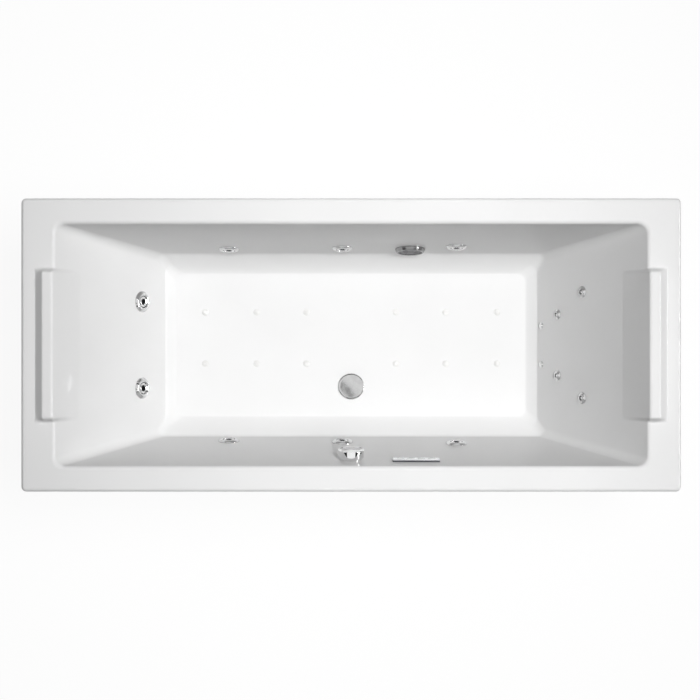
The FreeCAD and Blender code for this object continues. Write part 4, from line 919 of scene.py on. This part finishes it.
def make_panel():
    """A brushed plate on a dark base, with four keys in their wells."""
    seat = seat_at("front", *PANEL)
    plate = block("plate", (-65, -17, 3.9), (65, 17, 5.5), PANEL_SILVER, seat, 0.7, 3)
    surround = [block("base", (-65, -17, 0), (65, 17, 4.1), PUMP_PLASTIC, seat, 0.5, 2)]
    for n in range(4):
        x = (n - 1.5) * KEY_PITCH
        surround.append(block("well", (x - 10.3, -6.3, 4.9), (x + 10.3, 6.3, 5.55), DARK, seat, 0.3, 1))
        cap = block("panel_key_%d" % (n + 1), (x - 10, -6, 1.1), (x + 10, 6, 6.7), BUTTON, seat, 0.8, 3)
        dress(cap, "button_grey", "button_%d" % (n + 1), "panel_button_%d" % (n + 1))
    dress(joined("panel_plate", [plate] + surround), "panel_silver", "bath", "control_panel")


make_suction()
make_waste()
make_overflow()
make_panel()


# ---------------------------------------------------------------- behind and below the tub

def fit(name, node, slot, things):
    """Joins things on the bath in the place of one node."""
    dress(joined(name, things), slot, "bath", node)


def make_bodies():
    """Gaskets and bodies of the jets and air injectors, behind the shell."""
    gasket = [(22.9, -8), (31, -8), (31.4, -7), (31, -6), (22.9, -6), (22.9, -8)]
    body = soft_profile([(0, -26), (22.9, -26), (22.9, -8.2), (31, -8.2), (31, -14.5), (27.6, -15.5),
                         (27.6, -30), (28.6, -31), (28.6, -46), (24, -52.5), (14, -53), (14, -66),
                         (12.5, -68), (0, -68)], 0.4)
    seats = list(jet_seats().values())
    fit("jet_seals", "jet_gaskets", "rubber", [lathe("seal", gasket, RUBBER, seat, 48) for seat in seats])
    fit("jet_chambers", "jet_bodies", "grey_pvc",
        [lathe("chamber", body, GREY_PVC, seat, 96, flutes=(12, 2, 30)) for seat in seats])
    small = soft_profile([(0, -6.3), (15, -6.3), (15, -11), (12.6, -12), (12.6, -30), (10, -34),
                          (0, -34)], 0.5)
    fit("small_jet_chambers", "mini_jet_bodies", "grey_pvc",
        [lathe("chamber", small, GREY_PVC, seat, 64, flutes=(8, 1.2, 14)) for seat, radius in mini_seats()])
    boss = [(0, -22), (9, -22), (10, -20), (0, -20)]
    blocks = []
    for seat in injector_seats():
        blocks += [block("injector_block", (-13, -13, -20), (13, 13, -6.2), GREY_PVC, seat, 2.5, 3),
                   lathe("boss", boss, GREY_PVC, seat, 32)]
    fit("air_injector_blocks", "air_injector_bodies", "grey_pvc", blocks)


def make_water_pipes():
    """Pressure pipes from the pump to the jets along both sides, and the small jets' pipes."""
    centre = behind(seat_at("left", 0, BACK_JET[1]), WATER_DEPTH)
    stub = 19                   # from the middle of a jet's body to where its pipe ends
    inner, outer = BACK_JET[0] - stub, BACK_JET[0] + stub
    step = Vector((stub, 0, 0))
    runs = [pipe([(centre.x, -inner, centre.z), (centre.x, inner, centre.z)], WATER_PIPE, WHITE_PVC,
                 collar=2.2),
            pipe([(centre.x - 24, PUMP_OUTLET_Y, centre.z), (centre.x - 5, PUMP_OUTLET_Y, centre.z)],
                 17.5, WHITE_PVC)]
    small = []
    (high_y, high_z, _), (low_y, low_z, _) = MINI_JETS
    high, low = behind(seat_at("right", 0, high_z), 22), behind(seat_at("right", 0, low_z), 22)
    between = (high_y + low_y) / 2
    for side, sign in (("back", 1), ("front", -1)):
        first, second, third = [behind(seat_at(side, x, z), WATER_DEPTH) for x, z in JETS.items()]
        runs.append(pipe([(centre.x, sign * outer, centre.z), (centre.x, first.y, centre.z),
                          (first.x - 150, first.y, centre.z), first - step], WATER_PIPE, WHITE_PVC, 50, 2.2))
        runs.append(pipe([first + step, second - step], WATER_PIPE, WHITE_PVC, collar=2.2))
        route = [second + step, third - step]
        if side == "back":
            over = SUCTION[1] + 65
            route[1:1] = [(SUCTION[0] - 133, second.y, second.z), (SUCTION[0] - 88, second.y, over),
                          (SUCTION[0] + 42, third.y, over), (third.x - 45, third.y, third.z)]
        runs.append(pipe(route, WATER_PIPE, WHITE_PVC, 28, 2.2))
        start = third + step
        small.append(pipe([start, (start.x + 198, start.y, start.z), (high.x, start.y, high.z),
                           (high.x, sign * (high_y + 10), high.z)], 9, WHITE_PVC, 40, 1.8))
        small.append(pipe([(high.x, sign * (high_y - 10), high.z), (high.x, sign * between, high.z),
                           (low.x, sign * between, low.z), (low.x, sign * (low_y + 10), low.z)],
                          6, WHITE_PVC, 9))
    fit("pressure_pipe_runs", "pressure_pipes", "white_pvc", runs)
    fit("small_jet_pipe_runs", "small_jet_pipes", "white_pvc", small)


def make_air_lines():
    """Corrugated hoses to the injectors, air pipes to the jets, and the box that feeds them."""
    stations = sorted([-x for x in INJECTOR_X] + list(INJECTOR_X)) + [MANIFOLD[0] + 13]
    routes = [[(a + 11, y, 157), (b - 11, y, 157)] for y in INJECTOR_Y
              for a, b in zip(stations, stations[1:])]
    routes += [[behind(seat, 20), behind(seat, 62)] for seat in injector_seats()[-2:]]
    fit("corrugated_air_hoses", "injector_hoses", "hose",
        [pipe(route, 5.9, HOSE, ribs=1.0, sides=16) for route in routes])
    links = []
    middle = (MANIFOLD[0] + MANIFOLD[1]) / 2
    step = Vector((11, 0, 0))
    for side, sign in (("back", 1), ("front", -1)):
        first, second, third = [behind(seat_at(side, x, z), AIR_DEPTH) for x, z in JETS.items()]
        routes = [[first + step, second - step], [second + step, third - step],
                  [third + step, (middle, third.y, third.z), (middle, third.y, 158.5),
                   (middle, sign * 107, 158.5)]]
        links += [pipe(route, 8, HOSE, 50, 1.6) for route in routes]
    fit("jet_air_lines", "jet_air_pipes", "hose", links)
    box = [block("air_box", (MANIFOLD[0], -110, 142), (MANIFOLD[1], 110, 175), GREY_PVC, None, 5, 4)]
    box += [block("air_box_rib", (MANIFOLD[0] - 1, y - 2, 141.5), (MANIFOLD[1] + 1, y + 2, 176),
                  GREY_PVC, None, 1) for y in (-92, -30, 30, 92)]
    fit("air_distribution_box", "air_manifold", "grey_pvc", box)


def make_suction_side():
    """The suction's body and its pipe along the back to the pump."""
    seat = seat_at("back", *SUCTION[:2])
    x, y, z = SUCTION[0], SUCTION_LINE_Y, SUCTION_LINE_Z
    bowl = soft_profile([(0, -15), (31.2, -15), (31.2, -6.2), (44, -6.2), (44, -12), (39, -13), (39, -38),
                         (32, -46), (0, -46)], 1.0)
    fit("suction_bowl", "suction_body", "grey_pvc",
        [lathe("bowl", bowl, GREY_PVC, seat, 96, flutes=(16, 2, 41)),
         pipe([(x, y, 236), (x, y, 268)], 27, GREY_PVC)])
    sleeve = [(0, 0), (27, 0), (27, 44), (25, 45), (0, 45)]
    fit("suction_line", "suction_pipe", "white_pvc",
        [pipe([(x, y, z + 38), (x, y, z), (PUMP[0], y, z), (PUMP[0], 120, z)], 25, WHITE_PVC, 36, sides=32)]
        + [lathe("sleeve", sleeve, WHITE_PVC, lying((along, y, z), (1, 0, 0)), 32)
           for along in (-500, -160)])


def make_waste_side():
    """Trap, outlet, overflow body and pipe, and the cable that lifts the plug."""
    trap = soft_profile([(0, 32), (42, 32), (46, 36), (46, 70), (43, 72), (43, 80), (32, 84), (32, 157.5),
                         (40, 158.5), (40, 163.9), (25.2, 163.9), (25.2, 121), (0, 121)], 0.8)
    things = [lathe("trap", trap, GREY_PVC, floor_seat(0, WASTE_Y, 0), 96, flutes=(24, 2, 45)),
              pipe([(0, WASTE_Y - 58, TRAP_IN), (0, WASTE_Y - 20, TRAP_IN)], 18, GREY_PVC),
              nut((0, WASTE_Y - 58, TRAP_IN), (0, 1, 0), 22, 12, GREY_PVC),
              pipe([(0, WASTE_Y + 20, TRAP_OUT), (0, WASTE_Y + 59, TRAP_OUT)], 20, GREY_PVC),
              nut((0, WASTE_Y + 47, TRAP_OUT), (0, 1, 0), 25, 13, GREY_PVC),
              block("cable_boss", (18, WASTE_Y - 44, 98), (30, WASTE_Y - 8, 110), GREY_PVC, None, 2)]
    fit("bottle_trap", "waste_trap", "grey_pvc", things)
    outlet = [(0, 0), (21, 0), (21, 20), (21, 415), (20, 416), (20, 458), (19, 460), (17.5, 460),
              (17.5, 355), (0, 355)]
    sleeve = [(0, 0), (23, 0), (23, 40), (21, 41), (0, 41)]
    fit("outlet_line", "waste_outlet_pipe", "white_pvc",
        [lathe("outlet", outlet, WHITE_PVC, lying((0, WASTE_Y + 60, TRAP_OUT), (0, 1, 0)), 48),
         lathe("sleeve", sleeve, WHITE_PVC, lying((0, 190, TRAP_OUT), (0, 1, 0)), 48)])
    seat = seat_at("front", 0, KNOB[0])
    housing = soft_profile([(0, -10.3), (23.3, -10.3), (23.3, -6.2), (36, -6.2), (36, -10.5), (28.4, -11.5),
                            (28.4, -36), (24, -40), (0, -40)], 0.8)
    corners = [Vector((0, -373, 430)), Vector((0, -373, 170)), Vector((0, -290, TRAP_IN))]
    centre = behind(seat, 25)
    start = centre + (corners[0] - centre).normalized() * 40
    fit("overflow_housing", "overflow_body", "grey_pvc",
        [lathe("housing", housing, GREY_PVC, seat, 72, flutes=(12, 1.5, 34)),
         pipe([centre, start], 20, GREY_PVC),
         block("boss", (-29, -40, -31), (-19, 0, -19), GREY_PVC, seat, 1.5)])
    fit("overflow_line", "overflow_pipe", "white_pvc",
        [pipe([start] + corners + [(0, WASTE_Y - 58, TRAP_IN)], 18, WHITE_PVC, 45)])
    aside = Vector((24, 0, 0))
    route = [seat @ Vector((-24, depth, -25)) for depth in (-40, -58)]
    route += [corner + aside for corner in corners] + [(24, WASTE_Y - 44, TRAP_IN)]
    fit("lifting_cable", "bowden_cable", "rubber", [pipe(route, 3, RUBBER, 38, 1.0, sides=16)])


def make_pump():
    """A finned motor, its cowl and terminal box, and the pump casing with its two unions."""
    x, z = PUMP
    seat = lying((x, -95, z), (0, 1, 0))
    vents = [(0, 2)]
    for radius in range(12, 54, 7):
        vents += [(radius, 2), (radius + 0.8, 0), (radius + 3.6, 0), (radius + 4.4, 2)]
    motor = vents + [(60, 1.5), (66, 7), (68, 14), (68, 36), (66, 37), (66, 39), (70, 40), (70, 140),
                     (66, 141), (68, 143), (68, 155), (0, 155)]
    things = [lathe("motor", motor, MOTOR_PAINT, seat, 144, flutes=(36, 5, 69)),
              block("motor_foot", (x - 55, -75, 125), (x + 55, 40, 133), MOTOR_PAINT, None, 2),
              block("terminal_base", (x - 33, -63, 250), (x + 33, 18, 285), MOTOR_PAINT, None, 5, 3),
              block("terminal_lid", (x - 35, -65, 286), (x + 35, 20, 292), MOTOR_PAINT, None, 2, 3)]
    things += [block("foot_web", (web - 4, -70, 130), (web + 4, 35, 160), MOTOR_PAINT, None, 2)
               for web in (x - 48, x + 48)]
    things += screws([(a, b, 291.6) for a in (x - 29, x + 29) for b in (-58, 13)], (0, 0, 1), 3.4, 2, ZINC)
    fit("finned_pump_motor", "pump_motor", "motor_paint", things)
    casing = soft_profile([(0, 0), (74, 0), (74, 35), (40, 35), (26, 41), (26, 60), (0, 60)], [4, 6, 3, 5, 1])
    things = [lathe("casing", casing, PUMP_PLASTIC, lying((x, 60, z), (0, 1, 0)), 120,
                    flutes=(30, 1.5, 73)),
              nut((x, 104, z), (0, 1, 0), 31, 16, PUMP_PLASTIC, 16),
              pipe([(x, PUMP_OUTLET_Y, z + 63.2), (x + 80, PUMP_OUTLET_Y, z + 63.2)], 16, PUMP_PLASTIC),
              nut((x + 64, PUMP_OUTLET_Y, z + 63.2), (1, 0, 0), 20, 16, PUMP_PLASTIC)]
    ring = [2 * math.pi * (n + 0.5) / 8 for n in range(8)]
    things += screws([(x + 64 * math.cos(a), 94.5, z + 64 * math.sin(a)) for a in ring],
                     (0, 1, 0), 5, 4, ZINC)
    fit("pump_casing", "pump_volute", "pump_plastic", things)


def make_blower():
    """A round blower with an open intake under a grille, and its duct."""
    seat = floor_seat(BLOWER_X, 0, 0)
    form = soft_profile([(0, 129), (65, 129), (65, 206), (30, 206), (30, 215), (64, 215), (75, 204),
                         (75, 172), (73, 171), (73, 168), (75, 167), (75, 125), (0, 125)], 0.9)
    things = [lathe("blower", form, PUMP_PLASTIC, seat, 96, flutes=(24, 1.2, 74.5)),
              pipe([(BLOWER_X - 68, 0, 159), (MANIFOLD[1] - 1, 0, 159)], 16, PUMP_PLASTIC, collar=2.5)]
    things += [block("grille_bar", (BLOWER_X - 29.5, y - 1.2, 209), (BLOWER_X + 29.5, y + 1.2, 213),
                     PUMP_PLASTIC, None, 0.6) for y in (-16, -8, 0, 8, 16)]
    things += screws([(BLOWER_X + 50 * math.cos(a), 50 * math.sin(a), 214.6)
                      for a in (0.8, 2.4, 3.9, 5.5)], (0, 0, 1), 3.5, 2, ZINC)
    fit("blower_case", "blower_housing", "pump_plastic", things)


def make_controls():
    """The control box with its lid, cooling slots and gland, and the back of the panel."""
    (x0, x1), (y0, y1), (z0, z1) = CONTROL_BOX
    things = [block("case", (x0, y0, z0), (x1, y1, z1 - 18), DARK, None, 5, 3),
              block("seam", (x0 + 2, y0 + 2, z1 - 19), (x1 - 2, y1 - 2, z1 - 16), DARK, None, 1),
              block("lid", (x0, y0, z1 - 17), (x1, y1, z1), DARK, None, 5, 3)]
    things += [block("cooling_rib", (x0 + 14 + 9 * n, y1 - 1, z0 + 18),
                     (x0 + 18 + 9 * n, y1 + 1.2, z1 - 32), DARK, None, 0.8) for n in range(10)]
    things += screws([(x, y, z1 - 0.4) for x in (x0 + 9, x1 - 9) for y in (y0 + 9, y1 - 9)],
                     (0, 0, 1), 4, 1.6, ZINC)
    fit("control_case", "control_box", "dark_plastic", things)
    gland = [(0, 4), (5, 4), (5, 22), (7, 22), (9.6, 18), (9.6, 10), (11, 9), (11, 0), (0, 0)]
    fit("cable_entry", "cable_gland", "dark_plastic",
        [lathe("gland", gland, DARK, lying((x1, (y0 + y1) / 2, z0 + 30), (1, 0, 0)), 72,
               flutes=(12, 1, 10.5))])
    seat = seat_at("front", *PANEL)
    fit("panel_back", "panel_housing", "grey_pvc",
        [block("neck", (-49, -8, -8), (49, 8, -0.2), GREY_PVC, seat, 1),
         block("back", (-58, -13, -22), (58, 13, -6.2), GREY_PVC, seat, 3, 3)])


def make_frame():
    """Steel frame on screw feet, timber under the rim, and boards under the basin's floor."""
    fit("long_steel_tubes", "frame_long_rails", "galvanised",
        [square_tube((-872, y, LONG_RAIL_Z), (872, y, LONG_RAIL_Z), RAIL_SIZE, ZINC)
         for y in (-LONG_RAIL_Y, LONG_RAIL_Y)])
    fit("cross_steel_tubes", "frame_cross_rails", "galvanised",
        [square_tube((x, -SHELF_Y, CROSS_RAIL_Z), (x, SHELF_Y, CROSS_RAIL_Z), RAIL_SIZE, ZINC)
         for x in CROSS_RAIL_X])
    fit("upright_steel_tubes", "frame_uprights", "galvanised",
        [square_tube((x, y, UPRIGHT_FOOT), (x, y, BATTEN_Z), UPRIGHT_SIZE, ZINC)
         for x in UPRIGHT_X for y in (-FRAME_Y, FRAME_Y)])
    half = BATTEN / 2
    spans = [((-892, y - half), (892, y + half)) for y in (-FRAME_Y, FRAME_Y)]
    spans += [((x - half, half - FRAME_Y), (x + half, FRAME_Y - half)) for x in (-878, 878)]
    fit("timber_battens", "rim_battens", "timber",
        [block("batten", (*low, BATTEN_Z), (*high, BATTEN_Z + BATTEN), TIMBER, None, 1.5)
         for low, high in spans])
    boards = [block("board", (-526, low, UPRIGHT_FOOT), (526, high, 163.9), CHIPBOARD, None, 0.8)
              for low, high in BOARDS]
    bore_through(boards[0], [(floor_seat(0, WASTE_Y, 156), 46)])
    fit("floor_boards", "base_boards", "chipboard", boards)
    shelves = [block("shelf", (x - 80, -SHELF_Y, 119), (x + 80, SHELF_Y, 125), ZINC, None, 1)
               for x in (PUMP[0], BLOWER_X)]
    shelves += screws([(x + a, y, 124.8) for x in (PUMP[0], BLOWER_X) for a in (-70, 70)
                       for y in (-LONG_RAIL_Y, LONG_RAIL_Y)], (0, 0, 1), 5, 4, ZINC)
    fit("machine_shelves", "equipment_shelves", "galvanised", shelves)


def make_feet():
    """Six screw feet, each moving on its own, and their locknuts under the rails."""
    pitch = 1.75
    thread = [(0, 8)]
    for turn in range(50):
        thread += [(6, 16 + turn * pitch), (5.2, 16.9 + turn * pitch)]
    thread += [(4.8, 104), (0, 104)]
    plate = [(0, 9), (20, 9), (21, 10), (20, 12), (11, 14), (8.5, 19), (0, 19)]
    nuts = []
    hexagon = [(6.3, 80), (9.8, 80), (10.9, 81.2), (10.9, 87.8), (9.8, 89), (6.3, 89), (6.3, 80)]
    seats = [floor_seat(x, y, 0) for y in (LONG_RAIL_Y, -LONG_RAIL_Y) for x in FOOT_X]
    for number, seat in enumerate(seats, 1):
        foot = joined("screw_foot_%d" % number, [
            block("pad", (-25, -22, 0), (25, 22, 10), RUBBER, seat, 2.5, 3),
            lathe("plate", plate, ZINC, seat, 48),
            lathe("stud", thread, ZINC, seat, 20, angle=20)])
        dress(foot, "galvanised", "foot_%d_body" % number, "foot_%d" % number)
        nuts.append(lathe("nut", hexagon, ZINC, seat @ Matrix.Rotation(math.radians(30), 4, "Z"), 6))
    fit("foot_nuts", "foot_locknuts", "galvanised", nuts)


make_bodies()
make_water_pipes()
make_air_lines()
make_suction_side()
make_waste_side()
make_pump()
make_blower()
make_controls()
make_frame()
make_feet()


# ---------------------------------------------------------------- the CAD pieces that stay as they are

for entry in frame["record"]["subparts"]:
    kept = nodes[entry["node"]]
    if not kept.hide_render:
        kept.data.materials.clear()
        kept.data.materials.append(FINISHES[entry["material_slot"]])


# ---------------------------------------------------------------- floor, light and camera

PHOTO_SIZE = 700
PIXEL = 0.3671              # pixels to the millimetre at the rim
CAMERA_RISE = 4000.0        # camera above the rim
CENTRE = (351.2, 345.0)     # where the tub's centre is, in pixels
GROUND_GLOW = 0.93          # how much of the ground's look is plain white where it is seen
GROUND_REACH = 9000.0


def studio():
    """A pale ground that takes shadows and is nearly white where it is seen."""
    floor = Finish("studio_floor", base_color=(0.93, 0.93, 0.93, 1), roughness=0.9)
    glow = floor.node("ShaderNodeEmission", {}, {"Strength": 1.0})
    blend = floor.node("ShaderNodeMixShader", {},
                       {0: floor.seen_rays() * GROUND_GLOW, 1: floor.look, 2: glow})
    block("studio_ground", (-GROUND_REACH, -GROUND_REACH, -20), (GROUND_REACH, GROUND_REACH, 0),
                   floor.shown(blend), None, 0)


def sky(strength):
    """White where it is seen, and a weak light where it isn't."""
    world = bpy.data.worlds.new("studio_air")
    bpy.context.scene.world = world
    tree = Tree(world)
    air = tree.node("ShaderNodeBackground", {}, {"Color": (1, 1, 1, 1),
                                                 "Strength": tree.seen_rays().span(0, 1, strength, 1.0)})
    tree.node("ShaderNodeOutputWorld", {}, {"Surface": air})


def card(name, corners, level):
    """A dark or bright card that only shows in mirror-like surfaces."""
    paper = Finish(name + "_paper")
    glow = paper.node("ShaderNodeEmission", {}, {"Strength": level})
    sheet = piece(name, corners, [tuple(range(len(corners)))], [paper.shown(glow)])
    for rays in ("camera", "diffuse", "transmission", "volume_scatter", "shadow"):
        setattr(sheet, "visible_" + rays, False)


def lamp(name, place, size, power, spread, aim):
    """A soft light that doesn't show as a window in the chrome."""
    light = bpy.data.lights.new(name, "AREA")
    light.shape = "RECTANGLE"
    light.size, light.size_y = size[0] * MM, size[1] * MM
    light.energy = power
    light.spread = math.radians(spread)
    thing = linked(name, light)
    thing.location = Vector(place) * MM
    look = (Vector(aim) - Vector(place)).normalized()
    thing.rotation_euler = look.to_track_quat("-Z", "Y").to_euler()
    thing.visible_glossy = False


def camera():
    """The camera looks straight down from above the tub's centre."""
    data = bpy.data.cameras.new("camera")
    data.sensor_width = 36.0
    view = PHOTO_SIZE / PIXEL
    data.lens = data.sensor_width * CAMERA_RISE / view
    data.shift_x = (PHOTO_SIZE / 2 - CENTRE[0]) / PHOTO_SIZE
    data.shift_y = (CENTRE[1] - PHOTO_SIZE / 2) / PHOTO_SIZE
    thing = linked("camera", data)
    thing.location = (0, 0, (RIM + CAMERA_RISE) * MM)
    bpy.context.scene.camera = thing


def oblong(x0, y0, x1, y1):
    """The corners of a rectangle."""
    return (x0, y0), (x1, y0), (x1, y1), (x0, y1)


studio()
sky(0.03)
lamp("overhead", place=(1300, 400, 5200), size=(2600, 1600), power=45.5, spread=60, aim=(0, 0, 500))
# Over the bath hang dark cards, a grey one and a bright strip, which give the chrome its tones.
for side in (-1, 1):
    for end in (-1, 1):
        card("dark_side_card", [(side * x, end * y, 2100 if x < 2000 else 1400)
                                for x, y in oblong(1250, 750, 2300, 2600)], 0.02)
    card("dark_long_card", [(x, side * y, 2300) for x, y in oblong(-1300, 1250, 1300, 2100)], 0.05)
card("bright_strip", [(4000, y, z) for y, z in oblong(-2200, 1620, 700, 2700)], 24.0)
card("grey_card", [(-190 - 0.683 * a + 0.731 * b, -190 - 0.731 * a - 0.683 * b, 2800)
                   for a, b in oblong(0, -600, 380, 600)], 0.42)
camera()
bpy.context.scene.view_settings.view_transform = "Standard"
